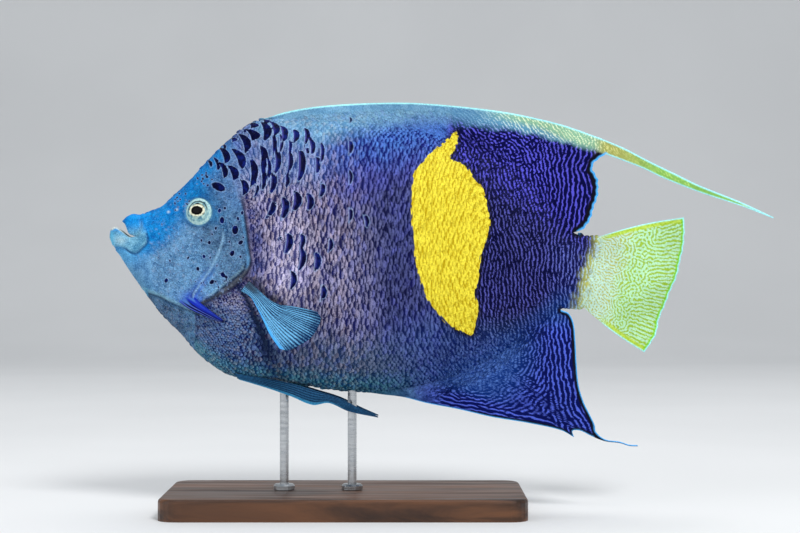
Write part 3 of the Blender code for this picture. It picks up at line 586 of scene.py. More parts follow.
class Fields:
    """Values over the side view that skin and scales read in the same way."""

    def __init__(self):
        self.low = np.array([-136.0, 32.0])
        self.high = np.array([244.0, 232.0])
        self.x = np.arange(self.low[0], self.high[0], FIELD_STEP)
        self.z = np.arange(self.low[1], self.high[1], FIELD_STEP)
        self.X, self.Z = np.meshgrid(self.x, self.z, indexing="ij")
        self.values = {}

    def read(self, name, x, z):
        """Return a field between its cells at any side-view points."""
        grid = self.values[name]
        a = np.clip((x - self.low[0]) / FIELD_STEP, 0, len(self.x) - 1.001)
        b = np.clip((z - self.low[1]) / FIELD_STEP, 0, len(self.z) - 1.001)
        return between_cells(grid, a, b)

    def window(self, points, reach):
        """Return the block of cells that lie within reach of some points."""
        low = np.min(points, axis=0) - reach
        high = np.max(points, axis=0) + reach
        i = np.searchsorted(self.x, [low[0], high[0]])
        j = np.searchsorted(self.z, [low[1], high[1]])
        return slice(*i), slice(*j)

    def distance(self, path, reach, count=80, closed=False):
        """Return the distance to a path, at most reach, and on which side of it a cell is."""
        spots = path_points(path + path[:1] if closed else path, count)
        box = self.window(spots, reach)
        x, z = self.X[box], self.Z[box]
        best = np.full(x.shape, float(reach))
        side = np.ones(x.shape)
        for a, b in zip(spots[:-1], spots[1:]):
            run = b - a
            share = ((x - a[0]) * run[0] + (z - a[1]) * run[1]) / max(run @ run, 1e-9)
            share = np.clip(share, 0, 1)
            off_x = x - a[0] - share * run[0]
            off_z = z - a[1] - share * run[1]
            gap = np.hypot(off_x, off_z)
            closer = gap < best
            best = np.where(closer, gap, best)
            side = np.where(closer, np.sign(run[0] * off_z - run[1] * off_x), side)
        whole = np.full(self.X.shape, float(reach))
        whole[box] = best
        sides = np.ones(self.X.shape)
        sides[box] = side
        return whole, sides

    def inside(self, path, reach, count=200):
        """Return the distance to a closed outline, below 0 inside it."""
        gap, _ = self.distance(path, reach, count, closed=True)
        spots = path_points(path + path[:1], count)
        box = self.window(spots, reach)
        x, z = self.X[box], self.Z[box]
        crossings = np.zeros(x.shape, dtype=int)
        for a, b in zip(spots[:-1], spots[1:]):
            between = (a[1] > z) != (b[1] > z)
            rise = b[1] - a[1] if b[1] != a[1] else 1e-9
            crossings += between & (x < a[0] + (z - a[1]) * (b[0] - a[0]) / rise)
        sign = np.ones(self.X.shape)
        sign[box] = np.where(crossings % 2 == 1, -1.0, 1.0)
        return gap * sign


def tone(red, green, blue):
    """Return a 0 to 255 sRGB colour in linear light."""
    value = np.array([red, green, blue]) / 255
    return np.where(value <= 0.04045, value / 12.92, ((value + 0.055) / 1.055) ** 2.4)


def blur(grid, rng, size, amount):
    """Return smooth noise of about that size in cells, between -amount and amount."""
    wide = np.fft.rfftfreq(grid[1]) * size
    tall = np.fft.fftfreq(grid[0]) * size
    keep = np.exp(-(tall[:, None] ** 2 + wide[None, :] ** 2) * 8)
    noise = np.fft.irfft2(np.fft.rfft2(rng.standard_normal(grid)) * keep, s=grid)
    return amount * np.tanh(noise / noise.std())


# Winding lines of the rear body and the fins
def maze_guides(x, z):
    """Return the direction, pitch and straightness of the winding lines at side-view points."""
    upright = math.pi / 2 + 0 * x
    upper = ease(z, 176.0, 206.0) * (1 - ease(x, 96.0, 116.0))
    angle = turned(upright, math.radians(132), upper)
    rim = x_on(DORSAL_REAR[::-1], z)
    rear_rim = ease(x - rim, -30.0, -16.0) * ease(z, 148.0, 164.0)
    before = ease(x, 74.0, 92.0) * (1 - ease(x, 104.0, 118.0)) * ease(z, 138.0, 154.0)
    angle = turned(angle, math.radians(112), before * (1 - upper))
    ahead = x_on(DORSAL_REAR[::-1], z + 3.0)
    angle = turned(angle, np.arctan2(3.0, 0.55 * (ahead - rim)), rear_rim)
    pitch = 1.95 + 0.15 * ease(-z, -160.0, -130.0) + 0.85 * rear_rim
    straight = 0.30 * (1 - upper) + 0.45 * rear_rim + 0.12
    in_band = ease(z - band_low(x), -2.0, 1.0)
    angle = turned(angle, math.radians(128), in_band * (1 - ease(x, 122.0, 140.0)))
    pitch = pitch * (1 - in_band) + 1.7 * in_band
    straight = straight * (1 - in_band) + 0.8 * in_band
    dx, dz = x - FAN_CENTRE[0], z - FAN_CENTRE[1]
    reach = np.hypot(dx, dz)
    fan = ease(reach, 18.0, 32.0) * ease(-z, -106.0, -92.0) * ease(x, 40.0, 66.0)
    angle = turned(angle, np.arctan2(dx, -dz), fan)
    rear = fan * ease(x, 108.0, 120.0)
    rear_angle = np.radians(95 + 22 * ease(-z, -72.0, -50.0))
    angle = turned(angle, rear_angle, rear)
    edge = fan * (1 - ease(z - anal_low_z(x), 3.0, 8.0)) * (1 - ease(x, 112.0, 122.0))
    angle = turned(angle, math.radians(169), edge)
    low = ease(-z, -112.0, -96.0)
    pitch = pitch * (1 - low) + (1.8 + 0.75 * ease(reach, 26.0, 52.0)) * low
    firm = 0.20 + 0.28 * ease(reach, 20.0, 44.0) + 0.2 * rear + 0.4 * edge
    straight = straight * (1 - low) + firm * low
    tail = on_tail_fin(x, z) > 0
    angle = np.where(tail, np.arctan2(z - 132.0, x - 70.0), angle)
    pitch = np.where(tail, 1.6 + 0.5 * ease(x, 144.0, 172.0), pitch)
    straight = np.where(tail, 0.8 * ease(x - x_on(TAIL_EDGE, z), -17.0, -9.0), straight)
    return angle, pitch, straight


def winding_lines(rng):
    """Grow winding lines from noise by filtering it again and again along the guides."""
    x = MAZE_LOW[0] + np.arange(MAZE_SIZE[0]) * MAZE_STEP
    z = MAZE_LOW[1] + np.arange(MAZE_SIZE[1]) * MAZE_STEP
    x, z = np.meshgrid(x, z, indexing="ij")
    angle, pitch, straight = maze_guides(x, z)
    fx = np.fft.fftfreq(MAZE_SIZE[0], MAZE_STEP)[:, None]
    fz = np.fft.rfftfreq(MAZE_SIZE[1], MAZE_STEP)[None, :]
    size = np.hypot(fx, fz)
    heading = np.arctan2(fz, fx)
    place = np.interp(np.log(pitch), np.log(MAZE_PITCHES), np.arange(len(MAZE_PITCHES)))
    filters = []
    for p, length in enumerate(MAZE_PITCHES):
        band = bell(size * length, 0.22, 1.0)
        near = np.clip(1 - np.abs(place - p), 0, 1)
        filters.append((band, near * (1 - straight)))
        for k in range(MAZE_ANGLES):
            across = math.pi * k / MAZE_ANGLES + math.pi / 2
            turn = np.angle(np.exp(2j * (heading - across))) / 2
            off = np.angle(np.exp(2j * (angle + math.pi / 2 - across))) / 2
            share = np.clip(1 - np.abs(off) * MAZE_ANGLES / math.pi, 0, 1)
            filters.append((band * bell(turn, 0.36), near * share * straight))
    smear = np.exp(-(size * 6) ** 2)
    lines = rng.standard_normal(MAZE_SIZE)
    for _ in range(MAZE_ROUNDS):
        spectrum = np.fft.rfft2(lines)
        grown = np.zeros(MAZE_SIZE)
        for keep, weight in filters:
            if weight.max() > 0:
                grown += weight * np.fft.irfft2(spectrum * keep, s=MAZE_SIZE)
        power = np.fft.irfft2(np.fft.rfft2(grown ** 2) * smear, s=MAZE_SIZE)
        grown /= np.sqrt(2 * np.abs(power)) + 1e-6
        lines = np.tanh(2.2 * grown)
    return grown


def read_maze(lines, x, z):
    """Return the winding lines at side-view points."""
    a = np.clip((x - MAZE_LOW[0]) / MAZE_STEP, 0, MAZE_SIZE[0] - 1.001)
    b = np.clip((z - MAZE_LOW[1]) / MAZE_STEP, 0, MAZE_SIZE[1] - 1.001)
    return between_cells(lines, a, b)


# Colours: the dark and the pale of each part's pattern
INK = tone(0, 2, 46)
INK_BLUE = tone(8, 24, 98)
INK_FRONT = tone(62, 62, 138)
INK_RIM = tone(140, 168, 214)
FLANK_FRONT = (tone(26, 28, 74), tone(172, 164, 190))
FLANK_MID = (tone(20, 24, 68), tone(120, 124, 168))
FLANK_UPPER = (tone(40, 74, 134), tone(118, 146, 200))
FLANK_BLUE = (tone(4, 22, 104), tone(76, 122, 204))
FLANK_INDIGO = (tone(14, 18, 84), tone(86, 92, 178))
FLANK_DARK = (tone(10, 14, 58), tone(82, 88, 144))
FLANK_WARM = (tone(74, 74, 126), tone(218, 210, 236))
BAND = (tone(80, 132, 172), tone(122, 168, 198))
BAND_REAR_LOW = (tone(90, 144, 172), tone(196, 218, 210))
BAND_REAR_TOP = (tone(136, 182, 150), tone(214, 228, 190))
REAR_BODY = (tone(0, 2, 48), tone(80, 82, 164))
STALK = (tone(4, 10, 68), tone(90, 100, 178))
SOFT_DORSAL = (tone(0, 2, 62), tone(86, 84, 208))
ANAL_REAR_TONE = (tone(0, 10, 80), tone(78, 98, 210))
ANAL_INNER = (tone(4, 40, 110), tone(76, 112, 184))
BELLY_TONE = (tone(30, 52, 86), tone(100, 118, 150))
BELLY_LOW = (tone(8, 66, 102), tone(84, 150, 172))
BELLY_REAR = (tone(6, 26, 84), tone(76, 98, 160))
CHEST = (tone(0, 22, 76), tone(94, 126, 168))
THROAT = (tone(22, 84, 132), tone(104, 160, 200))
CHEEK = (tone(48, 104, 158), tone(124, 178, 222))
SNOUT = (tone(0, 96, 174), tone(20, 144, 216))
OPERCLE = (tone(8, 38, 82), tone(96, 140, 178))
FOREHEAD = (tone(0, 60, 122), tone(4, 132, 196))
NAPE = (tone(12, 56, 110), tone(92, 138, 186))
NAPE_FRONT = (tone(0, 50, 108), tone(20, 108, 166))
LIP = (tone(36, 112, 158), tone(132, 190, 216))
CHIN = (tone(72, 146, 196), tone(122, 186, 220))
THROAT_SKIN = (tone(2, 38, 76), tone(100, 142, 178))
# Near-black of the mouth's roof and floor: painted shade inside the mouth
MOUTH_SHADE = (tone(8, 16, 28), tone(18, 30, 44))
LIP_INNER = (tone(196, 204, 176), tone(232, 232, 204))
MEMBRANE = (tone(60, 66, 80), tone(106, 112, 122))
COVER_EDGE = (tone(58, 112, 162), tone(104, 160, 206))
BEHIND_GILL = (tone(4, 16, 72), tone(74, 88, 150))
EYE_SKIN = (tone(92, 150, 176), tone(140, 192, 206))
MOON_TONE = (tone(184, 154, 6), tone(240, 224, 66))
TAIL_BASE = (tone(176, 180, 92), tone(184, 216, 198))
TAIL_MID = (tone(150, 186, 58), tone(176, 222, 180))
TAIL_BAND = (tone(166, 198, 56), tone(182, 210, 84))
TAIL_GREEN = (tone(120, 196, 30), tone(138, 208, 52))
EDGE_CYAN = tone(170, 246, 252)
EDGE_BLUE = tone(84, 182, 255)
STREAMER_ROOT = (tone(164, 166, 88), tone(206, 208, 132))
STREAMER = (tone(134, 186, 90), tone(178, 214, 116))
SHADOW = tone(14, 18, 50)
NOSTRIL_WHITE = tone(210, 226, 226)
SPINE_BLUE = tone(20, 40, 168)
MARGIN_DARK = tone(12, 10, 26)
DEEP_HUES = (tone(16, 16, 108), tone(52, 36, 48))       # blue and brown that scales lean to
PALE_HUES = (tone(100, 106, 214), tone(182, 154, 160))
PECTORAL = (tone(0, 32, 80), tone(112, 184, 230))
PECTORAL_FOOT = (tone(20, 32, 54), tone(80, 98, 118))
PECTORAL_FRONT = (tone(38, 140, 226), tone(70, 168, 240))
PELVIC = (tone(6, 36, 68), tone(40, 92, 132))
PELVIC_FRONT = (tone(36, 118, 164), tone(76, 162, 206))
SPINE_DARK = tone(8, 8, 44)
SPINE_STRIPE = tone(96, 120, 190)
SPINE_SHINE = tone(70, 110, 245)
SPINE_FOOT = (tone(58, 100, 178), tone(92, 138, 204))

# Bright lines along the rims of the fins: their width and colour and the x they start at
RIM_LINES = (("top", 0.8, EDGE_CYAN, -50.0), ("dorsal_rear", 1.05, EDGE_BLUE, 60.0),
             ("anal_rear", 0.5, EDGE_BLUE, 60.0), ("anal_low", 0.36, EDGE_BLUE, 30.0),
             ("tail_top", 0.6, EDGE_CYAN, 140.0), ("tail_low", 0.6, EDGE_CYAN, 140.0),
             ("tail_rear", 0.65, EDGE_CYAN, 140.0), ("streamer", 0.6, EDGE_CYAN, 140.0))


def blend(colour, other, weight):
    """Return colours shifted towards another by a weight for each point."""
    return colour + (other - colour) * weight[..., None]


def mix_pair(pair, other, weight):
    """Blend the dark and the pale colour of a pair towards those of another."""
    return [blend(a, b, weight) for a, b in zip(pair, other)]


def laid_over(pair, layers):
    """Return a pair of colours with others laid over it one after another."""
    for other, weight in layers:
        pair = mix_pair(pair, other, weight)
    return pair


def paint_body(f):
    """Work out the dark and the pale colour of the body at every cell."""
    x, z = f.X, f.Z
    level = level_at(x, z)
    rise = z - 0.12 * x + 3.0 * f.grain
    warm = bell_round(x, z, (-31.0, 132.0), (11.0, 26.0))
    # Darker violet-blue band behind the gill cover: partly the skin's own colour, partly painted
    # shade cast by the cover's flap
    behind_gill = bell(f.gill, 5.2, -4.8) * ease(z, 118.0, 126.0)
    blotch = 0.74 + 0.26 * np.sin(z * 0.42 + 1.2 * f.grain)
    pair = laid_over(FLANK_FRONT, (
        (FLANK_MID, ease(x, -34.0, 26.0) * 0.85),
        (FLANK_UPPER, ease(rise, 176.0, 200.0) * (1 - ease(x, -14.0, 24.0)) * 0.85),
        (FLANK_INDIGO, ease(rise, 158.0, 186.0) * ease(x, -26.0, 14.0)),
        (FLANK_BLUE, ease(rise, 182.0, 206.0) * ease(x, -22.0, 12.0)),
        (FLANK_DARK, ease(x, 2.0, 30.0) * (1 - ease(z, 172.0, 198.0))),
        (FLANK_WARM, warm * 0.95),
        (BEHIND_GILL, behind_gill * (1 - ease(z, 164.0, 176.0)) * blotch),
        (CHEST, ease(-level, 0.30, 0.60) * (1 - ease(x, -46.0, 4.0))),
        (BELLY_TONE, ease(-level, 0.5, 0.8) * ease(x, -50.0, -6.0)),
        (BELLY_LOW, ease(-level, 0.82, 0.97) * (1 - ease(x, 40.0, 80.0))),
        (BELLY_REAR, ease(-z, -124.0, -92.0) * ease(x, 8.0, 52.0)),
        (REAR_BODY, ease(x + 0.12 * (150 - z), 54.0, 72.0) * ease(z, 96.0, 116.0)),
        (STALK, ease(x, 108.0, 128.0) * ease(z, 100.0, 116.0) * ease(-z, -158.0, -146.0)),
        (SOFT_DORSAL, ease(z + 0.6 * (x - 90.0), 164.0, 186.0) * ease(x, 55.0, 61.0))))
    bridge = ease(z + 0.35 * (x + 82.0), 158.0, 172.0)
    snout = ease(-x - 0.62 * (160.0 - z), 84.0, 100.0)
    skull = laid_over(CHEEK, (
        (OPERCLE, ease(x + 0.42 * (z - 140), -84.0, -66.0)),
        (NAPE, ease(z + 0.62 * (x + 80.0), 172.0, 186.0)),
        (NAPE_FRONT, ease(z + 1.1 * (-x - 76.0), 184.0, 200.0) * ease(z, 176.0, 190.0)),
        (FOREHEAD, bridge * (1 - ease(x + 0.5 * (z - 176.0), -86.0, -66.0))),
        (SNOUT, snout * ease(z - 0.5 * (x + 110), 138.0, 150.0)),
        (THROAT, ease(-z - 1.05 * (x + 108.0), -131.0, -118.0))))
    soft = 0.3 + 9.0 * ease(z, 166.0, 190.0) + 13.0 * ease(-z, -116.0, -100.0)
    head = ease(f.gill, -soft, soft)
    pair = mix_pair(pair, skull, head)
    return paint_folds(f, pair, head)


def paint_folds(f, pair, head):
    """Colour the lips, the edges and folds of the head and the rings of eye and nostrils. Paint
    shade into folds, behind the gill cover and by the pectoral fin, and a highlight on the lower
    lip.
    """
    x, z = f.X, f.Z

    def dab(colour, weight):
        return mix_pair(pair, (colour, colour), np.clip(weight, 0, 1))

    below, side = f.distance(THROAT_FOLD, 40.0, 60)
    under = (side < 0) * ease(below, 0.0, 1.2) * (1 - ease(x + 2.0 * f.grain, -98.0, -72.0)) * head
    pair = mix_pair(pair, THROAT_SKIN, under * (1 - 0.8 * ease(below, 9.0, 22.0)))
    pair = dab(tone(126, 172, 188), bell(below, 0.9, 1.3) * (side > 0) * 0.7)
    pair = dab(SHADOW, bell(below, 0.55) * 0.9)
    lip_gap, lip_side = f.distance(LOWER_LIP_FOLD, 20.0, 80)
    lip = (lip_side > 0) * (x < -110.2) * (1 - ease(z + f.grain, 154.5, 160.0))
    lip = lip * ease(lip_gap, 0.2, 1.0)
    pair = mix_pair(pair, LIP, lip)
    chin = bell_round(x, z, (-124.0, 144.0), (7.0, 5.0)) * (1 - lip)
    pair = mix_pair(pair, CHIN, chin * 0.8)
    upper_gap, _ = f.distance(UPPER_LIP_FOLD, 12.0, 50)
    fleshy = bell_round(x, z, (-117.6, 156.4), (4.6, 3.4)) * (1 - lip)
    pair = mix_pair(pair, LIP, fleshy * 0.45)
    rise_to = ease(z, 153.0, 156.0) * (1 - ease(z, 160.0, 164.0))
    pair = dab(tone(150, 200, 214), bell(upper_gap, 0.5, 0.6) * rise_to * 0.25)
    pair = dab(SHADOW, bell(upper_gap, 0.35) * (z < 163.0) * 0.45)
    # Painted shade in the crease of the lower lip's fold
    pair = dab(tone(26, 46, 84), bell(lip_gap, 0.5) * ease(x, -127.0, -122.0) * 0.8)
    # Painted highlight on the swell of the lower lip
    bulge = bell_round(x, z, (-125.6, 151.6), (3.2, 2.0))
    pair = dab(tone(184, 208, 212), bulge * 0.5)
    rim = bell(x, 1.2, -130.6) * (z < 157.0)
    pair = dab(tone(84, 184, 226), rim * lip * 0.6)
    teeth, _ = f.distance(LOWER_LIP_EDGE[2:6], 4.0, 40)
    pair = mix_pair(pair, LIP_INNER, (1 - ease(teeth, 0.3, 1.0)) * ease(-x, 117.2, 119.0) * 0.75)
    ridge, ridge_side = f.distance(PREOPERCLE, 6.0, 70)
    pair = dab(tone(38, 84, 206), bell(ridge, 2.4) * ease(-z, -142.0, -124.0) * 0.6)
    royal = bell_round(x, z, (-87.0, 119.6), (5.0, 3.2)) * (side > 0)
    pair = dab(tone(30, 66, 210), royal * 0.65)
    pair = dab(tone(150, 196, 232), bell(ridge, 0.6) * ease(-z, -159.0, -152.0)
               * ease(z, 117.6, 119.6) * 0.9)
    pair = dab(SHADOW, bell(ridge, 0.5, 1.0) * (ridge_side < 0) * ease(-z, -128.0, -120.0) * 0.6)
    low, low_side = f.distance(OPERCLE_LOW, 12.0, 80)
    lower = ease(-z, -141.0, -136.0) * ease(x, -85.0, -81.0)
    pair = mix_pair(pair, MEMBRANE, (f.gill > 0) * (low_side < 0) * lower * ease(low, 0.2, 0.8))
    pair = dab(tone(150, 182, 184), bell(low, 0.45, 1.3) * (low_side > 0) * (z < 138.0) * 0.4)
    pair = dab(SHADOW, bell(low, 0.62) * (z < 139.0) * ease(x, -84.0, -80.0) * 0.95)
    pair = mix_pair(pair, COVER_EDGE, bell(f.gill, 0.7, 1.5) * ease(z, 134.0, 138.0)
                    * (1 - ease(z, 160.0, 172.0)))
    shade = bell(f.gill, 0.85, -0.2) * (1 - ease(z, 166.0, 182.0)) * ease(z, 112.0, 118.0)
    pair = dab(SHADOW, shade * 0.85)
    # Painted shade in the pit above the pectoral fin's root
    axil, _ = f.distance(AXIL_SHADE, 9.0, 30)
    pair = dab(tone(40, 42, 60), bell(axil, 3.2) * (f.gill < 0) * 0.85)
    # Painted shadow: the band of shade the pectoral fin casts down the flank, fading lower down
    hollow, _ = f.distance(PECTORAL_SHADOW, 12.0, 40)
    fade = 0.95 - 0.4 * ease(-z, -96.0, -76.0)
    spread = 2.6 + 2.0 * ease(-z, -104.0, -84.0)
    pair = dab(tone(8, 24, 58), bell(hollow, spread) * (f.gill < 0) * fade)
    eye = gap_to(x, z, EYE_CENTRE)
    pair = dab(tone(178, 192, 220), cheek_dots(f) * 0.5)
    pair = mix_pair(pair, EYE_SKIN, bell(eye, 0.6, EYE_SEEN) * 0.7)
    pair = dab(tone(30, 70, 120), bell(eye, 0.45, EYE_SEEN + 1.2) * 0.5)
    for centre in NOSTRILS:
        pair = dab(NOSTRIL_WHITE, bell(gap_to(x, z, centre), 0.62) * 0.85)
    return pair


def cheek_dots(f):
    """Return the weight of the tiny pale dots of the cheek."""
    rng = np.random.default_rng(SEED + 7)
    weight = np.zeros(f.X.shape)
    for _ in range(70):
        spot = np.array([-98.0 + 9.0 * rng.standard_normal(), 143.0 + 11.0 * rng.standard_normal()])
        radius = 0.32 + 0.22 * rng.random()
        box = f.window(spot[None], 2.0)
        gap = gap_to(f.X[box], f.Z[box], spot)
        weight[box] = np.maximum(weight[box], bell(gap, radius))
    return weight * ease(-f.Z, -164.0, -158.0)


def paint_fins(f, pair, margins):
    """Add the colours of the middle fins and their rims."""
    x, z = f.X, f.Z
    width = 9.0 - 5.4 * ease(x, 40.0, 92.0)
    band = ease((z - band_low(x) + f.grain * 0.8) / width, -0.6, 0.8) * ease(x, -60.0, -44.0)
    band = band * (z > 150)
    pair = mix_pair(pair, BAND, band)
    rear = mix_pair(BAND_REAR_LOW, BAND_REAR_TOP,
                    ease(7.0 - margins["top"] + 5.0 * ease(x, 104.0, 136.0), 0.0, 5.0))
    pair = mix_pair(pair, rear, band * ease(x, 68.0, 104.0))
    anal = ease(belly(x) - z, -16.0, 4.0) * ease(x, 34.0, 60.0)
    pair = mix_pair(pair, ANAL_INNER, anal * (x < 150))
    reach = gap_to(x, z, FAN_CENTRE)
    rear_anal = ease(reach, 22.0, 44.0) * ease(-z, -114.0, -98.0) * ease(x, 60.0, 84.0)
    near_edge = (1 - ease(z - anal_low_z(x), 6.0, 14.0)) * anal
    pair = mix_pair(pair, ANAL_REAR_TONE, np.maximum(rear_anal, near_edge) * (x < 150))
    slant = on_tail_fin(x, z) + f.grain * 1.8
    on_stalk = ease(z, 107.0, 111.0) * ease(-z, -160.0, -156.0)
    tail = ease(slant, -8.5, 3.5) ** 1.3 * np.maximum(on_stalk, ease(slant, 0.0, 2.0))
    pair = mix_pair(pair, TAIL_BASE, tail)
    pair = mix_pair(pair, TAIL_MID, tail * ease(slant, 10.0, 26.0))
    sides = np.minimum(margins["tail_top"], margins["tail_low"])
    pair = mix_pair(pair, TAIL_BAND, tail * (1 - ease(sides, 2.4, 3.2)) * ease(x, 141.0, 150.0))
    pair = mix_pair(pair, TAIL_GREEN, tail * (1 - ease(margins["tail_rear"], 1.5, 2.1)))
    streamer = (z > 158.0) & (z > 197.0 - (x - 142.0) * 0.42)
    strand = mix_pair(STREAMER_ROOT, STREAMER, ease(x, 150.0, 178.0))
    pair = mix_pair(pair, strand, streamer * ease(x, 138.0, 147.0))
    dark = (1 - ease(margins["dorsal_rear"], 2.9, 3.6)) * ease(band_low(x) - z, -0.4, 0.6)
    dark = np.maximum(dark, 1 - ease(margins["anal_rear"], 1.9, 2.5))
    dark = np.maximum(dark, (1 - ease(margins["anal_low"], 1.2, 1.8)) * ease(x, 50.0, 90.0))
    pair = mix_pair(pair, (MARGIN_DARK, MARGIN_DARK), dark)
    for name, width, colour, start in RIM_LINES:
        rim = (1 - ease(margins[name], width - 0.25, width + 0.25)) * ease(x, start, start + 8.0)
        pair = mix_pair(pair, (colour, colour), rim)
    return pair


def rim_margins(f):
    """Return how far each cell lies from the rims that carry a coloured edge, at most RIM_REACH."""
    def away(rim, count):
        return f.distance(rim, RIM_REACH, count)[0]

    tail = tail_patch(body_patch())
    tail_top = [tuple(p) for p in tail[::11, -1][:, [0, 2]]]
    tail_low = [tuple(p) for p in tail[::11, 0][:, [0, 2]]]
    top = away(DORSAL_EDGE + FILAMENT_TOP[1:], 160)
    streamer = np.minimum(away(FILAMENT_LOW, 60), np.where(f.X > 142.0, top, RIM_REACH))
    return {"top": top, "streamer": streamer, "dorsal_rear": away(DORSAL_REAR, 80),
            "anal_rear": away(ANAL_REAR[::-1] + STRAND_TOP[1:], 90),
            "anal_low": away(ANAL_EDGE + ANAL_NOTCH[1:], 120),
            "tail_top": away(tail_top, 40), "tail_low": away(tail_low, 40),
            "tail_rear": away(TAIL_EDGE, 60)}


def crescent_gap(x, z, centre, size, lean):
    """Return about how far a point lies outside a mark, round behind and hollow in front, and
    how far back in it the point lies, from -1 to 1.
    """
    width, length = size
    dx = x - centre[0] + lean * (z - centre[1])
    v = (z - centre[1]) / (length / 2)
    v = v - 0.16 * np.clip(1 - v * v, 0, 1)
    full = np.clip(1 - np.abs(v) ** 2.1, 0, 1)
    rear = width * (full ** 0.55 - 0.5)
    front = width * (0.20 * full - 0.5)
    middle, half = (rear + front) / 2, (rear - front) / 2
    beside = np.abs(dx - middle) - half
    beyond = (np.abs(v) - 1) * length / 2
    off_end = np.hypot(np.maximum(beside, 0), beyond)
    gap = np.where(beyond > 0, off_end, np.maximum(beside * 0.9, beyond))
    return gap, np.clip((dx - middle) / np.maximum(half, 0.3), -1, 1)


def ellipse_gap(x, z, centre, size, slant=0.0):
    """Return about how far a point lies outside an ellipse, below 0 inside it."""
    dx, dz = x - centre[0], z - centre[1]
    along = dx * math.cos(slant) + dz * math.sin(slant)
    across = -dx * math.sin(slant) + dz * math.cos(slant)
    share = np.hypot(along / (size[0] / 2), across / (size[1] / 2))
    return (share - 1) * min(size) / 2


def ink_marks(f, rng):
    """Return the distance to the dark marks, below 0 inside them, and how dark they are.

    The half-moons have a round rear, and those of the flank are paler in front. Each mark keeps a
    clear margin from those laid before it, as one scale does on the next.
    """
    ink = np.full(f.X.shape, NO_MARK)
    dark = np.ones(f.X.shape)
    for column, marks in NAPE_MARKS:
        shaded = float(ease(column, -52.0, -34.0))
        for height, width, length, lean in marks:
            lean = lean + 0.04 * rng.standard_normal()
            box = f.window(np.array([(column, height)]), length)
            size = (width * (1.0 + 0.28 * float(ease(column, -55.0, -46.0))), 1.05 * length)
            gap, back_in = crescent_gap(f.X[box], f.Z[box], (column, height), size, lean)
            dark[box] = np.where(gap < 0.3, 1 - shaded * ease(-back_in, -0.1, 0.9), dark[box])
            ink[box] = np.where(gap < 0.42, gap, np.minimum(ink[box], gap))
    x, z, length, width, slant = SLANTED_MARK
    ink = np.minimum(ink, ellipse_gap(f.X, f.Z, (x, z), (length, width), slant))
    for x, z, radius in HEAD_SPOTS:
        stretch = 1.25 + 0.3 * rng.random()
        spot = ellipse_gap(f.X, f.Z, (x, z), (2 * radius, 2 * radius * stretch),
                           0.3 * rng.standard_normal())
        ink = np.minimum(ink, np.where(spot > 0, 1.6 * spot, spot))
    return ink + 0.12 * f.grain, dark


def head_specks(f, rng):
    """Return small specks of the head as a distance, below 0 inside them."""
    speck = np.full(f.X.shape, NO_MARK)
    for x, z, wide, tall, count, radius in HEAD_SPECKS:
        for _ in range(count):
            spot = (x + wide * rng.standard_normal() * 0.6, z + tall * rng.standard_normal() * 0.6)
            size = radius * (0.7 + 0.9 * rng.random())
            box = f.window(np.array([spot]), 4.0)
            gap = gap_to(f.X[box], f.Z[box], spot) - size
            speck[box] = np.minimum(speck[box], np.where(gap > 0, 2.5 * gap, gap))
    return speck


def make_fields():
    """Work out every side-view field once."""
    rng = np.random.default_rng(SEED)
    f = Fields()
    f.grain = blur(f.X.shape, rng, 4.0, 1.0)
    broad = blur(f.X.shape, rng, 30.0, 1.0)
    f.gill = gill_gap(f)
    margins = rim_margins(f)
    deep, pale = paint_fins(f, paint_body(f), margins)
    shade = (1 + 0.10 * broad)[..., None]
    f.values["deep"] = deep * shade
    f.values["pale"] = pale * shade
    f.values["moon"] = f.inside(MOON, 6.0)
    ink, f.values["ink_dark"] = ink_marks(f, rng)
    f.values["ink"] = np.minimum(ink, head_specks(f, rng))
    f.lines = winding_lines(rng)
    f.values["warp_x"] = blur(f.X.shape, rng, 2.8, 0.46)
    f.values["warp_z"] = blur(f.X.shape, rng, 2.8, 0.40)
    reach = gap_to(f.X, f.Z, FAN_CENTRE)
    low = ease(-f.Z, -104.0, -90.0) * ease(f.X, 40.0, 62.0)
    near_edge = 1 - ease(f.Z - anal_low_z(f.X), 8.0, 16.0)
    fan = np.maximum(ease(reach, 18.0, 40.0), near_edge)
    behind = ease(f.X, 57.0, 64.0)
    f.values["mazed"] = behind * (1 - low) + low * (0.5 + 0.5 * fan)
    f.values["tailed"] = ease(on_tail_fin(f.X, f.Z), -2.0, 2.0)
    f.values["relief"] = head_relief(f)
    f.values["bare"] = bare_skin(f)
    f.values["gill"] = f.gill
    f.values["grain"] = f.grain
    f.values["rims"] = np.minimum.reduce(list(margins.values()))
    return f


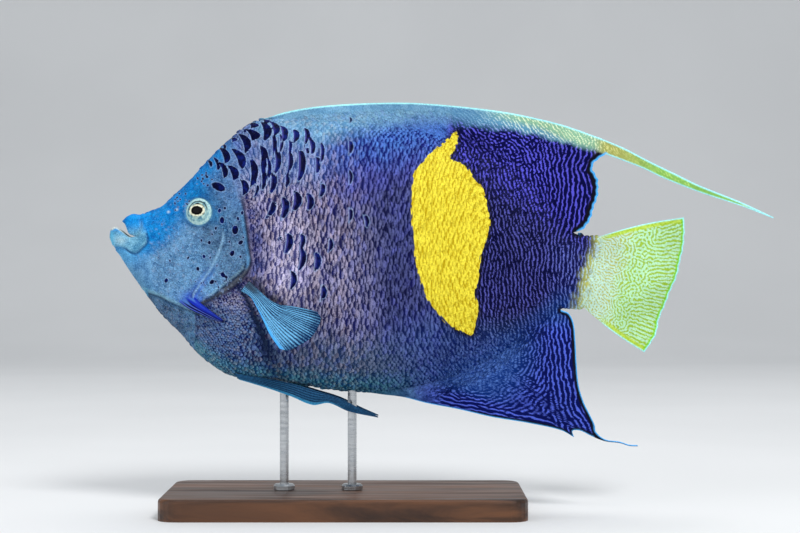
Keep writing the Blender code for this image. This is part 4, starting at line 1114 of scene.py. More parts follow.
def head_relief(f):
    """Return how far the skin stands out or in: folds, grooves and edges of the head's plates."""
    x, z = f.X, f.Z
    relief = np.zeros(x.shape)

    def groove(path, depth, width, roll=0.0, reach=5.0):
        gap, _ = f.distance(path, reach, 60)
        return -depth * bell(gap, width) + roll * bell(gap, 1.1, 1.6)

    def step(path, height, raised, run=7.0):
        """Raise one side of a path and let the rise fade away over a run."""
        gap, side = f.distance(path, run, 70)
        inner = ease(side * raised * gap, -0.25, 0.25)
        return height * inner * (1 - ease(gap, 0.5, run)) - 0.12 * bell(gap, 0.5)

    relief += groove(UPPER_LIP_FOLD, 0.55, 0.6, 0.25)
    relief += groove(LOWER_LIP_FOLD, 0.7, 0.65, 0.4)
    relief += groove(THROAT_FOLD, 0.6, 0.55, 0.2)
    relief += step(PREOPERCLE, 0.5, -1.0)
    relief += step(OPERCLE_LOW, 0.7, 1.0)
    cover = ease(f.gill, -0.25, 0.25)
    crease = 0.5 * cover * (1 - ease(f.gill, 1.0, 9.0))
    crease -= 0.75 * (1 - cover) * (1 - ease(-f.gill, 1.0, 7.0))
    relief += crease * ease(z, 112.0, 120.0) * (1 - ease(z, 168.0, 190.0))
    eye = gap_to(x, z, EYE_CENTRE)
    relief += 0.55 * bell(eye - EYE_SEEN, 0.75, 0.95)
    relief -= 0.25 * bell(eye - EYE_SEEN, 0.7, 2.9)
    relief -= 3.0 * (1 - ease(eye, EYE_SEEN - 1.2, EYE_SEEN + 0.2))
    for centre in NOSTRILS:
        gap = gap_to(x, z, centre)
        relief += 0.4 * bell(gap, 0.4, 0.8) - 0.5 * bell(gap, 0.4)
    ripple = ease(-x, 78.0, 90.0) * ease(-z, -152.0, -138.0) * ease(z, 120.0, 128.0)
    relief += 0.07 * ripple * np.sin((z + 0.35 * x) * 2.6 + 2.0 * f.grain)
    return relief


def bare_skin(f):
    """Return 1 where the skin carries no scales: lips, rings of eyes, nostrils, fold lines."""
    x, z = f.X, f.Z
    eye = gap_to(x, z, EYE_CENTRE)
    bare = (eye < EYE_SEEN + 2.1).astype(float)
    bare = np.maximum(bare, x < -110.6 - 0.12 * (z - 150.0))
    for path, gap in ((UPPER_LIP_FOLD, 1.4), (LOWER_LIP_FOLD, 1.5), (THROAT_FOLD, 1.0),
                      (PREOPERCLE, 0.8), (OPERCLE_LOW, 0.9)):
        bare = np.maximum(bare, f.distance(path, 3.0, 50)[0] < gap)
    for centre in NOSTRILS:
        bare = np.maximum(bare, gap_to(x, z, centre) < 2.0)
    return bare


# Mesh helpers
def new_object(name, mesh, material):
    """Put a mesh into the scene, shaded smooth."""
    obj = bpy.data.objects.new(name, mesh)
    bpy.context.scene.collection.objects.link(obj)
    mesh.materials.append(material)
    mesh.shade_smooth()
    return obj


def mesh_from(name, places, quads, triangles=None):
    """Make a mesh from places in millimetres, quads and triangles."""
    mesh = bpy.data.meshes.new(name)
    corners = [quads.reshape(-1)]
    totals = [np.full(len(quads), 4)]
    if triangles is not None and len(triangles):
        corners.append(triangles.reshape(-1))
        totals.append(np.full(len(triangles), 3))
    corners = np.concatenate(corners)
    totals = np.concatenate(totals)
    mesh.vertices.add(len(places))
    mesh.vertices.foreach_set("co", (places * MM).astype(np.float32).ravel())
    mesh.loops.add(len(corners))
    mesh.loops.foreach_set("vertex_index", corners.astype(np.int32))
    mesh.polygons.add(len(totals))
    starts = np.concatenate([[0], np.cumsum(totals)[:-1]])
    mesh.polygons.foreach_set("loop_start", starts.astype(np.int32))
    mesh.update(calc_edges=True)
    return mesh


def set_colour(mesh, name, values):
    """Store a colour for each point of a mesh."""
    layer = mesh.color_attributes.new(name, "FLOAT_COLOR", "POINT")
    full = np.concatenate([values, np.ones((len(values), 1))], axis=1)
    layer.data.foreach_set("color", full.astype(np.float32).ravel())


def set_value(mesh, name, values):
    """Store a number for each point of a mesh."""
    layer = mesh.attributes.new(name, "FLOAT", "POINT")
    layer.data.foreach_set("value", values.astype(np.float32))


def set_bake_map(mesh, uv):
    """Give each corner its vertex's place on the unwrapped skin."""
    corner = np.empty(len(mesh.loops), dtype=np.int32)
    mesh.loops.foreach_get("vertex_index", corner)
    layer = mesh.uv_layers.new(name="OFBake", do_init=False)
    layer.uv.foreach_set("vector", uv[corner].astype(np.float32).ravel())


def grid_quads(columns, rows, start, flip):
    """Return the quads between the points of a grid whose numbers begin at start."""
    index = start + np.arange(columns * rows).reshape(columns, rows)
    quads = np.stack([index[:-1, :-1], index[:-1, 1:], index[1:, 1:], index[1:, :-1]], axis=-1)
    quads = quads.reshape(-1, 4)
    return quads[:, ::-1] if flip else quads


def normals_of(places, quads, triangles):
    """Return the unit normal at each vertex of a mesh."""
    normal = np.zeros_like(places)
    for faces in (quads, triangles):
        a, b, c = places[faces[:, 0]], places[faces[:, 1]], places[faces[:, 2]]
        d = places[faces[:, -1]] if faces.shape[1] == 4 else a
        cross = np.cross(c - a, d - b) if faces.shape[1] == 4 else np.cross(b - a, c - a)
        for k in range(faces.shape[1]):
            for axis in range(3):
                normal[:, axis] += np.bincount(faces[:, k], cross[:, axis], len(places))
    return normal / np.maximum(np.linalg.norm(normal, axis=1, keepdims=True), 1e-9)


class Skin:
    """Grids of the body and its middle fins, welded into one skin over both sides."""

    def __init__(self):
        self.places = []
        self.unwrap = []
        self.out = []
        self.quads = []
        self.count = 0
        self.index = {}

    def add(self, name, patch, unwrap, out):
        """Add both sides of a grid and keep the numbers of its points."""
        columns, rows, _ = patch.shape
        for side, sign in (("right", 1.0), ("left", -1.0)):
            self.index[name, side] = self.count + np.arange(columns * rows).reshape(columns, rows)
            self.quads.append(grid_quads(columns, rows, self.count, flip=sign < 0))
            self.places.append((patch * (1.0, sign, 1.0)).reshape(-1, 3))
            self.unwrap.append(np.column_stack([unwrap.reshape(-1, 2),
                                                np.full(columns * rows, sign)]))
            self.out.append(np.broadcast_to(out, patch.shape[:2]).reshape(-1))
            self.count += columns * rows

    def close(self, name, pick):
        """Join left to right along an edge that runs clockwise as seen from the left."""
        right = pick(self.index[name, "right"])
        left = pick(self.index[name, "left"])
        self.quads.append(np.column_stack([right[:-1], left[:-1], left[1:], right[1:]]))

    def weld(self):
        """Merge the points that share a place and sort the faces into quads and triangles."""
        places = np.concatenate(self.places)
        keys = np.round(places / WELD_STEP).astype(np.int64)
        keys = (keys[:, 0] * WELD_SPAN + keys[:, 1]) * WELD_SPAN + keys[:, 2]
        _, first, number = np.unique(keys, return_index=True, return_inverse=True)
        quads = number[np.concatenate(self.quads)]
        same = np.stack([quads[:, k] == quads[:, (k + 1) % 4] for k in range(4)], axis=1)
        crossed = (quads[:, 0] == quads[:, 2]) | (quads[:, 1] == quads[:, 3])
        whole = quads[(same.sum(axis=1) == 0) & ~crossed]
        narrow = (same.sum(axis=1) == 1) & ~crossed
        keep = np.array([[1, 2, 3], [0, 2, 3], [0, 1, 3], [0, 1, 2]])
        dropped = np.argmax(same[narrow], axis=1)
        triangles = np.take_along_axis(quads[narrow], keep[dropped], axis=1)
        self.number = number
        return places[first], np.concatenate(self.unwrap)[first], \
            np.concatenate(self.out)[first], whole, triangles


def arc_from(patch, row):
    """Return the length along each column of a grid from one of its rows, below 0 under it."""
    step = np.linalg.norm(np.diff(patch, axis=1), axis=2)
    length = np.concatenate([np.zeros((len(patch), 1)), np.cumsum(step, axis=1)], axis=1)
    return length - length[:, row:row + 1]


def drawn_at(places):
    """Return where points of the rounded sides lie on the flat side drawing of the markings."""
    grow = DRAWING_REACH / (DRAWING_REACH - np.abs(places[:, 1]))
    return (DRAWING_MIDDLE[0] + (places[:, 0] - DRAWING_MIDDLE[0]) * grow,
            DRAWING_MIDDLE[1] + (places[:, 2] - DRAWING_MIDDLE[1]) * grow)


def laid_on_side(x, z, depth):
    """Return the side-view place of drawn points that stand so far out from the middle."""
    shrink = 1 - depth / DRAWING_REACH
    return (DRAWING_MIDDLE[0] + (x - DRAWING_MIDDLE[0]) * shrink,
            DRAWING_MIDDLE[1] + (z - DRAWING_MIDDLE[1]) * shrink)


def gill_gap(f):
    """Return the distance to the free edge of the gill cover, above 0 in front of it."""
    gap, _ = f.distance(GILL_EDGE, 14.0, 120)
    return np.where(f.X < x_on(path_points(GILL_EDGE, 120), f.Z), gap, -gap)


def lip_lining(lip, upper):
    """Return the roof or floor of the mouth, from a lip's edge to the middle of the fish."""
    edge = lip[:, 0] if upper else lip[:, -1]
    into = 1.0 if upper else -1.0
    rows = [edge]
    behind_tip = ease(edge[:, 0], SNOUT_X + 1.0, SNOUT_X + 7.0)
    for share, sink in ((0.6, 0.5), (0.3, 1.0), (0.0, 1.2)):
        row = edge.copy()
        row[:, 1] *= share
        thick = np.abs(lip[:, -1, 2] - lip[:, 0, 2])
        row[:, 2] += into * np.minimum(sink, 0.3 * thick) * behind_tip
        rows.append(row)
    lining = np.stack(rows, axis=1)
    return lining[:, ::-1] if upper else lining


def side_map(patch, middle_z=MAP_MIDDLE_Z):
    """Return the place of a flat grid's points on the unwrapped skin, in millimetres."""
    return np.stack([patch[..., 0], patch[..., 2] - middle_z], axis=-1)


def build_skin(f, material):
    """Make the skin, and return it with its grids for the scales to stand on."""
    body = body_patch()
    middle = BODY_ROWS // 2
    dorsal, dorsal_columns = fin_patch(body, -1, DORSAL_BASE,
                                       (DORSAL_EDGE, DORSAL_ROOT, DORSAL_REAR))
    anal, anal_columns = fin_patch(body, 0, ANAL_BASE,
                                   (ANAL_EDGE, ANAL_NOTCH, ANAL_ROOT, ANAL_REAR))
    tail = tail_patch(body)
    streamer, streamer_rows = filament_patch(dorsal, DORSAL_BASE[1:3], FILAMENT_TOP, FILAMENT_LOW,
                                             FILAMENT_COLUMNS)
    strand, strand_rows = filament_patch(anal, ANAL_BASE[2:4], STRAND_TOP, STRAND_LOW,
                                         STRAND_COLUMNS)
    skin = Skin()
    body_arc = arc_from(body, middle)
    body_map = np.stack([body[..., 0], body_arc], axis=-1)
    skin.add("body", body, body_map, 0.0)
    for name, upper in (("upper_lip", True), ("lower_lip", False)):
        lip = lip_patch(body, upper)
        lining = lip_lining(lip, upper)
        for part, patch, flag in ((name, lip, 0.0), (name + "_lining", lining, -1.0)):
            skin.add(part, patch, side_map(patch, SNOUT_Z), flag)
    fin_out = np.linspace(0, 1, FIN_ROWS)[None, :]
    for name, patch, columns, row, sign in (("dorsal", dorsal, dorsal_columns, -1, 1.0),
                                            ("anal", anal, anal_columns, 0, -1.0)):
        start = body_arc[columns, row][:, None]
        rise = sign * np.hypot(patch[..., 0] - patch[:, :1, 0], patch[..., 2] - patch[:, :1, 2])
        fin_map = np.stack([patch[..., 0], start + rise], axis=-1)
        upward = slice(None, None, 1 if sign > 0 else -1)
        skin.add(name, patch[:, upward], fin_map[:, upward], fin_out[:, upward])
    skin.add("tail", tail, side_map(tail), np.linspace(0, 1, TAIL_COLUMNS)[:, None])
    skin.add("streamer", streamer[:, ::-1], side_map(streamer)[:, ::-1], 1.0)
    strand_up = strand if strand[0, -1, 2] > strand[0, 0, 2] else strand[:, ::-1]
    skin.add("strand", strand_up, side_map(strand), 1.0)
    close_edges(skin, dorsal_columns, anal_columns, streamer_rows, strand_rows)
    places, unwrap, out, quads, triangles = skin.weld()
    finish_skin_shape(f, places, out, quads, triangles)
    mesh = mesh_from("skin", places, quads, triangles)
    paint_skin(f, mesh, places, out, unwrap)
    obj = new_object("skin", mesh, material)
    moved = places[skin.number]
    return obj, {name: moved[skin.index[name, "right"]] for name in ("body", "dorsal", "anal")}


def close_edges(skin, dorsal_columns, anal_columns, streamer_rows, strand_rows):
    """Join left to right along the rims of the fins and the ridges between them."""
    skin.close("body", lambda index: index[dorsal_columns[-1]:, -1])
    skin.close("body", lambda index: index[: anal_columns[0] + 1, 0][::-1])
    skin.close("body", lambda index: index[anal_columns[-1]:, 0][::-1])
    skin.close("dorsal", lambda index: index[: streamer_rows[0] + 1, -1])
    skin.close("dorsal", lambda index: index[streamer_rows[-1]:, -1])
    skin.close("anal", lambda index: index[: strand_rows[0] + 1, 0][::-1])
    skin.close("anal", lambda index: index[strand_rows[-1]:, 0][::-1])
    for name in ("tail", "streamer", "strand"):
        skin.close(name, lambda index: index[:, -1])
        skin.close(name, lambda index: index[-1, :][::-1])
        skin.close(name, lambda index: index[:, 0][::-1])


def finish_skin_shape(f, places, out, quads, triangles):
    """Press folds and grooves into the skin and sink it under the scales."""
    normal = normals_of(places, quads, triangles)
    x, z = drawn_at(places)
    on_body = out < 0.01
    relief = f.read("relief", x, z) * on_body
    bare = f.read("bare", x, z) * on_body
    coat = COAT_DEPTH * (1 - bare) * (1 - 0.75 * ease(out, 0.0, 0.7))
    wide = ease(np.abs(places[:, 1]), 0.15, 1.2)
    places += normal * (relief * wide - coat * (0.4 + 0.6 * wide))[:, None]


def paint_skin(f, mesh, places, out, unwrap):
    """Store the markings on the skin's points."""
    side = unwrap[:, 2]
    colours = read_colours(f, places, side)
    # Painted shade: the mouth's lining turns near-black behind the lips' front tip
    inside = (out < -0.5) * ease(places[:, 0], -128.5, -124.5)
    for name, mouth in zip(("deep", "pale"), MOUTH_SHADE):
        set_colour(mesh, name, blend(colours[name], mouth, inside))
    plain = 0.5 + 0.14 * colours["grain"]
    line = colours["maze_line"] * colours["mazed"] + (1 - colours["mazed"]) * plain
    set_value(mesh, "line", line)
    for name in ("ink", "ink_dark", "moon"):
        set_value(mesh, name, colours[name])
    uv = (unwrap[:, :2] + MAP_SHIFT) / MAP_SIZE + np.column_stack([0 * side, 0.5 * (side > 0)])
    set_bake_map(mesh, uv * 0.98 + 0.01)


def read_colours(f, places, side):
    """Return the markings at places. The right side's marks lie a little otherwise."""
    x, z = drawn_at(places)
    shift = (side > 0) * 1.0
    mx = x + shift * 1.5 * np.sin(z * 0.11 + 1.0)
    mz = z + shift * 1.7 * np.sin(x * 0.09)
    deep = f.read("deep", x, z)
    pale = f.read("pale", x, z)
    moon = f.read("moon", mx, z)
    rear = ease(x, 50.0, 60.0)
    ring = (1 - ease(moon, 0.5 + 0.7 * rear, 1.3 + 0.9 * rear)) * (0.35 + 0.6 * rear)
    deep = blend(deep, MARGIN_DARK, ring)
    pale = blend(pale, MARGIN_DARK, ring * 0.8)
    away = ease(f.read("rims", x, z), 1.0, 2.5)
    maze_x = x + (mx - x) * away + f.read("warp_x", x, z)
    maze_z = z + (mz - z) * away + f.read("warp_z", x, z)
    maze = read_maze(f.lines, maze_x, maze_z)
    tail = f.read("tailed", x, z)
    spotty = 0.22 * tail * (1 - ease(x, 140.0, 158.0))
    line = ease(maze + 0.62 * tail + spotty - 0.03 * (1 - tail), 0.16, 0.76)
    mazed = f.read("mazed", x, z) * ease(moon, -0.4, 0.4)
    return {"deep": deep, "pale": pale, "maze_line": line, "moon": moon, "mazed": mazed,
            "ink": f.read("ink", mx, mz), "ink_dark": f.read("ink_dark", mx, mz),
            "grain": f.read("grain", x, z)}


# Scales: thin closed shields in rows, each over the root of the next
def plant_scales(name, f, patch, lattice, form, side, rng, material, uv_box, contrast=1.0):
    """Stand a scale on each place of the lattice and join them all into one mesh."""
    ci, rj, length, width, lie = lattice
    along, across = form
    columns, rows = len(along), len(across)
    origin, du, dv = sample_patch(patch, ci, rj)
    normal = np.cross(dv, du)
    normal /= np.linalg.norm(normal, axis=1, keepdims=True)
    u = du / np.linalg.norm(du, axis=1, keepdims=True)
    a = u * np.cos(lie)[:, None] - np.cross(u, normal) * np.sin(lie)[:, None]
    b = np.cross(a, normal)
    count = len(ci)
    s, t = np.meshgrid(along, across, indexing="ij")
    body_width = 0.62 + 0.38 * np.sin(math.pi * np.clip(s * 0.75 + 0.18, 0, 1))
    tip = 1 - 0.34 * t * t * s
    la = (s * tip)[None] * length[:, None, None]
    lb = (t * body_width)[None] * width[:, None, None] / 2
    tilt = 0.13 + 0.012 * rng.standard_normal(count)
    tilt = tilt * (1 - 0.5 * ease(np.abs(normal[:, 2]), 0.55, 0.95))
    rise = tilt[:, None, None] * la - SCALE_SINK
    camber = 0.034 * width[:, None, None] * (t * t)[None] * (0.4 + 0.6 * s[None])
    crown = np.sin(math.pi * np.clip(s, 0, 1))
    swell = 0.02 * width[:, None, None] * crown[None] * (1 - t * t)[None]
    lc = rise - camber + swell
    top = (origin[:, None, None] + la[..., None] * a[:, None, None]
           + lb[..., None] * b[:, None, None] + lc[..., None] * normal[:, None, None])
    thick = np.minimum(0.10, 0.03 * width)[:, None, None]
    rim = rim_indices(columns, rows)
    flat = top.reshape(count, -1, 3)
    under = flat[:, rim] - normal[:, None] * thick
    points = np.concatenate([flat, under], axis=1)
    per = points.shape[1]
    quads, triangles = scale_faces(columns, rows, rim)
    base = (np.arange(count) * per)[:, None, None]
    quads = (quads[None] + base).reshape(-1, 4)
    triangles = (triangles[None] + base).reshape(-1, 3)
    places = points.reshape(-1, 3)
    if side < 0:
        places = places * (1.0, -1.0, 1.0)
        quads = quads[:, ::-1]
        triangles = triangles[:, ::-1]
    mesh = mesh_from(name, places, quads, triangles)
    paint_scales(f, mesh, places, origin, a, length, s, t, rim, side, rng, contrast)
    root = uv_box(ci, rj, origin)
    patch_uv = 0.003 * np.stack([s - 0.5, t / 2], axis=-1).reshape(-1, 2)
    patch_uv = np.concatenate([patch_uv, patch_uv[rim]])
    uv = (root[:, None] + patch_uv[None]).reshape(-1, 2)
    set_bake_map(mesh, np.clip(uv, 0, 1))
    obj = new_object(name, mesh, material)
    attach(obj, BODY)


def rim_indices(columns, rows):
    """Return the numbers of a grid's outer points, once round."""
    index = np.arange(columns * rows).reshape(columns, rows)
    return np.concatenate([index[0, :], index[1:, -1], index[-1, -2::-1], index[-2:0:-1, 0]])


def scale_faces(columns, rows, rim):
    """Return the quads of a scale's top and rim and the triangles of its underside."""
    top = grid_quads(columns, rows, 0, flip=False)
    ring = columns * rows + np.arange(len(rim))
    nxt = np.roll(np.arange(len(rim)), -1)
    wall = np.column_stack([rim, ring, ring[nxt], rim[nxt]])[:, ::-1]
    fan = np.array([[ring[0], ring[k + 1], ring[k]] for k in range(1, len(rim) - 1)])
    return np.concatenate([top, wall]), fan[:, ::-1]


def sample_patch(patch, ci, rj):
    """Return the place, and the steps along and across, at points between a grid's points."""
    i = np.clip(ci.astype(int), 0, patch.shape[0] - 2)
    j = np.clip(rj.astype(int), 0, patch.shape[1] - 2)
    fi, fj = (ci - i)[:, None], (rj - j)[:, None]
    p00, p10 = patch[i, j], patch[i + 1, j]
    p01, p11 = patch[i, j + 1], patch[i + 1, j + 1]
    place = (p00 * (1 - fi) + p10 * fi) * (1 - fj) + (p01 * (1 - fi) + p11 * fi) * fj
    i0, i1 = np.clip(i - 2, 0, None), np.clip(i + 3, None, patch.shape[0] - 1)
    j0, j1 = np.clip(j - 2, 0, None), np.clip(j + 3, None, patch.shape[1] - 1)
    return place, patch[i1, j] - patch[i0, j], patch[i, j1] - patch[i, j0]


def paint_scales(f, mesh, places, origin, a, length, s, t, rim, side, rng, contrast):
    """Give each scale its own random tone, a dark line of painted shade where it passes under the
    free edge of the one in front, which draws the flank's dark net, a pale free edge and its
    share of the marks.
    """
    count = len(origin)
    per = len(places) // count
    middle = origin + a * (0.6 * length)[:, None]
    own = read_colours(f, middle, np.full(count, float(side)))
    every = read_colours(f, places, np.full(len(places), float(side)))
    moon = own["moon"] < 0
    throat = 1 - ease(middle[:, 2], 100.0, 116.0)
    contrast = contrast + (1.0 - contrast) * throat * (middle[:, 0] < -40.0)
    by_cheek = ease(-middle[:, 0], 58.0, 84.0) * ease(-middle[:, 2], -122.0, -108.0)
    contrast = contrast + (0.55 - contrast) * by_cheek
    plain = (1 - own["mazed"]) * (~moon) * contrast
    shade = 1 + np.where(moon, 0.03, 0.06) * rng.standard_normal(count).clip(-2, 2)
    light = ease(own["pale"].mean(axis=1), 0.03, 0.2)
    hue = rng.standard_normal(count).clip(-1.6, 1.6) * plain * light
    to_blue = np.repeat(np.clip(hue, 0, 1) * 0.20, per)
    to_brown = np.repeat(np.clip(-hue, 0, 1) * 0.24 * (1 - ease(middle[:, 0], -6.0, 24.0)), per)
    for key, blue, brown in (("deep", *DEEP_HUES), ("pale", *PALE_HUES)):
        own_tone = np.repeat(own[key], per, axis=0)
        mixed = blend(every[key], own_tone, np.repeat(own["mazed"] * 0.4, per))
        mixed = blend(blend(mixed, blue, to_blue), brown, to_brown)
        set_colour(mesh, key, mixed * np.repeat(shade, per)[:, None])
    # Painted shade: a dark line where each scale passes under the free edge of the one in front,
    # which also draws the flank's dark net
    front = 0.31 + 0.32 * t * t
    under_edge_shade = bell(s - front, 0.105, 0.06)
    under_edge_shade = under_edge_shade * (0.80 + 0.20 * np.cos(2.2 * t))
    ridge = 0.36 * ease(s, 0.80, 0.96) - 0.08
    under_edge_shade, ridge = under_edge_shade.reshape(-1), ridge.reshape(-1)
    under_edge_shade = np.concatenate([under_edge_shade, under_edge_shade[rim]])
    ridge = np.concatenate([ridge, ridge[rim]])
    depth = np.clip(1.08 + 0.30 * rng.standard_normal(count), 0.1, 1.5)
    calm = 1 - 0.55 * ease(middle[:, 2], 176.0, 200.0) * (1 - ease(middle[:, 0], -20.0, 4.0))
    calm = np.where(moon, 1.0, calm)
    strength = np.repeat(depth * calm, per)
    scale_line = np.tile(ridge, count) - 0.85 * np.tile(under_edge_shade, count) * strength
    scale_line = 0.64 + np.repeat(contrast, per) * scale_line + 0.10 * every["grain"]
    scale_line = scale_line + np.repeat(0.08 * rng.standard_normal(count), per)
    scale_line = np.where(np.repeat(moon, per), 0.30 + 0.66 * scale_line, scale_line)
    mazed = np.repeat(own["mazed"], per)
    line = scale_line * (1 - mazed) + (0.9 * every["maze_line"] + 0.1 * scale_line) * mazed
    set_value(mesh, "line", line)
    for key in ("ink", "ink_dark"):
        set_value(mesh, key, every[key])
    jog = 0.42 * rng.standard_normal(count).clip(-1.6, 1.6)
    set_value(mesh, "moon", every["moon"] + np.repeat(jog, per))


def lattice_on(patch, mid_row, x_range, step_of, pitch_of, keep, rng, lie=0.0, size=(2.5, 1.3),
               jitter=0.22):
    """Return a staggered lattice over a grid: column and row places, lengths and widths.

    step_of gives the spacing of the columns at an x, and pitch_of the spacing of the scales
    along a column from the share of the way to its upper or lower end.
    """
    mid = patch[:, mid_row]
    run = np.concatenate([[0], np.cumsum(np.linalg.norm(np.diff(mid, axis=0), axis=1))])
    arc = arc_from(patch, mid_row)
    at = np.interp(x_range[0], mid[:, 0], run)
    end = np.interp(x_range[1], mid[:, 0], run)
    found = []
    odd = 0
    while at < end:
        ci = float(np.interp(at, run, np.arange(len(run))))
        i = int(round(ci))
        column = arc[i]
        step = step_of(mid[i, 0])
        for sign, reach in ((1.0, column[-1]), (-1.0, -column[0])):
            v = pitch_of(mid[i, 0], 0.0) * (0.5 if odd else 1.0)
            if sign > 0 and not odd:
                v = 0.0
            while v < reach:
                share = sign * v / max(reach, 1e-6)
                pitch = pitch_of(mid[i, 0], share)
                found.append((ci, float(np.interp(sign * v, column, np.arange(len(column)))),
                              step, pitch))
                v += pitch
        at += step
        odd = 1 - odd
    ci, rj, step, pitch = np.array(found).T
    ci = ci + jitter * rng.standard_normal(len(ci)) * step / 0.7
    rj = rj + 0.8 * jitter * rng.standard_normal(len(rj)) * pitch
    place, _, _ = sample_patch(patch, ci, rj)
    chosen = keep(place)
    ci, rj, step, pitch = ci[chosen], rj[chosen], step[chosen], pitch[chosen]
    grown = 1 + 0.06 * rng.standard_normal(len(ci))
    lean = lie + 0.08 * rng.standard_normal(len(ci))
    return ci, rj, size[0] * step * grown, size[1] * pitch * grown, lean


def unwrapped(patch, mid_row):
    """Return a function that places a scale's root on the unwrapped grid."""
    arc = arc_from(patch, mid_row)
    low = np.array([patch[..., 0].min(), arc.min()])
    high = np.array([patch[..., 0].max(), arc.max()])

    def place(ci, rj, origin):
        i = np.clip(np.round(ci).astype(int), 0, arc.shape[0] - 1)
        j = np.clip(np.round(rj).astype(int), 0, arc.shape[1] - 1)
        return 0.01 + 0.98 * (np.column_stack([origin[:, 0], arc[i, j]]) - low) / (high - low)

    return place


def add_scales(f, patches, material):
    """Cover both sides with scales: flank, head and the bases of the fins."""
    body = patches["body"]
    middle = BODY_ROWS // 2

    def flank_step(x):
        fine = 0.15 * (1 - float(ease(x, -58.0, -44.0))) + 0.12 * float(ease(x, 100.0, 132.0))
        return 1.2 + 0.12 * float(ease(x, 60.0, 80.0)) - fine

    def flank_pitch(x, share):
        widest = 6.3 - 3.5 * float(ease(x, 66.0, 84.0))
        chest = float(ease(-share, 0.12, 0.42)) * (1 - float(ease(x, -46.0, -20.0)))
        belly = float(ease(-share, 0.45, 0.85))
        flap = (1 - float(ease(x, -53.0, -44.0))) * (1 - float(ease(share, 0.35, 0.55)))
        widest = widest + (min(widest, 1.8) - widest) * flap
        top = float(ease(share, 0.70, 0.96))
        widest = widest + (1.55 - widest) * chest
        widest = widest + (min(widest, 3.0) - widest) * max(belly, top)
        return widest

    def on_flank(place):
        x, z = drawn_at(place)
        return (f.read("gill", x, z) < -0.3) & (x < 138.5 + 0.26 * (z - 134.0))

    def on_head(place):
        x, z = drawn_at(place)
        return (f.read("gill", x, z) > 1.3) & (f.read("bare", x, z) < 0.3)

    def on_dorsal(place):
        x, z = place[:, 0], place[:, 2]
        near = (x < 58.0) | (z - back(x) < 8.0 - 4.0 * ease(x, 60.0, 120.0))
        return (f.read("rims", x, z) > 4.2) & (x < 136.0) & near

    def on_anal(place):
        x, z = place[:, 0], place[:, 2]
        near = (x < 40.0) | (belly(x) - z < 9.0)
        return (f.read("rims", x, z) > 3.6) & (x < 126.0) & near

    for side_name, side in (("left", -1), ("right", 1)):
        rng = np.random.default_rng(SEED + side)
        place = unwrapped(body, middle)
        for part, low, high in FLANK_PIECES:
            spots = lattice_on(body, middle, (low, high), flank_step, flank_pitch, on_flank, rng,
                               size=(2.7, 1.2), jitter=0.16)
            form = LONG_FORM if high < 70.0 else FINE_FORM
            plant_scales(f"scales_{part}_{side_name}", f, body, spots, form, side, rng, material,
                         place)
        spots = lattice_on(body, middle, (-113.0, -46.0), lambda x: 0.98, lambda x, share: 1.2,
                           on_head, rng, size=(2.2, 1.25), jitter=0.28)
        plant_scales(f"scales_head_{side_name}", f, body, spots, HEAD_FORM, side, rng, material,
                     place, contrast=0.25)
        for fin, lie, keep in (("dorsal", 0.5, on_dorsal), ("anal", -0.5, on_anal)):
            patch = patches[fin]
            base_row = 0 if fin == "dorsal" else FIN_ROWS - 1
            spots = lattice_on(patch, base_row, (patch[0, base_row, 0], patch[-1, base_row, 0]),
                               lambda x: 1.4, lambda x, share: 1.6, keep, rng, lie,
                               size=(2.3, 1.25))
            plant_scales(f"scales_{fin}_{side_name}", f, patch, spots, SMALL_FORM, side, rng,
                         material, unwrapped(patch, base_row), contrast=0.6)


# Materials
def node_material(name):
    """Return a new material and its nodes."""
    material = bpy.data.materials.new(name)
    material.use_nodes = True
    return material, Nodes(material.node_tree)


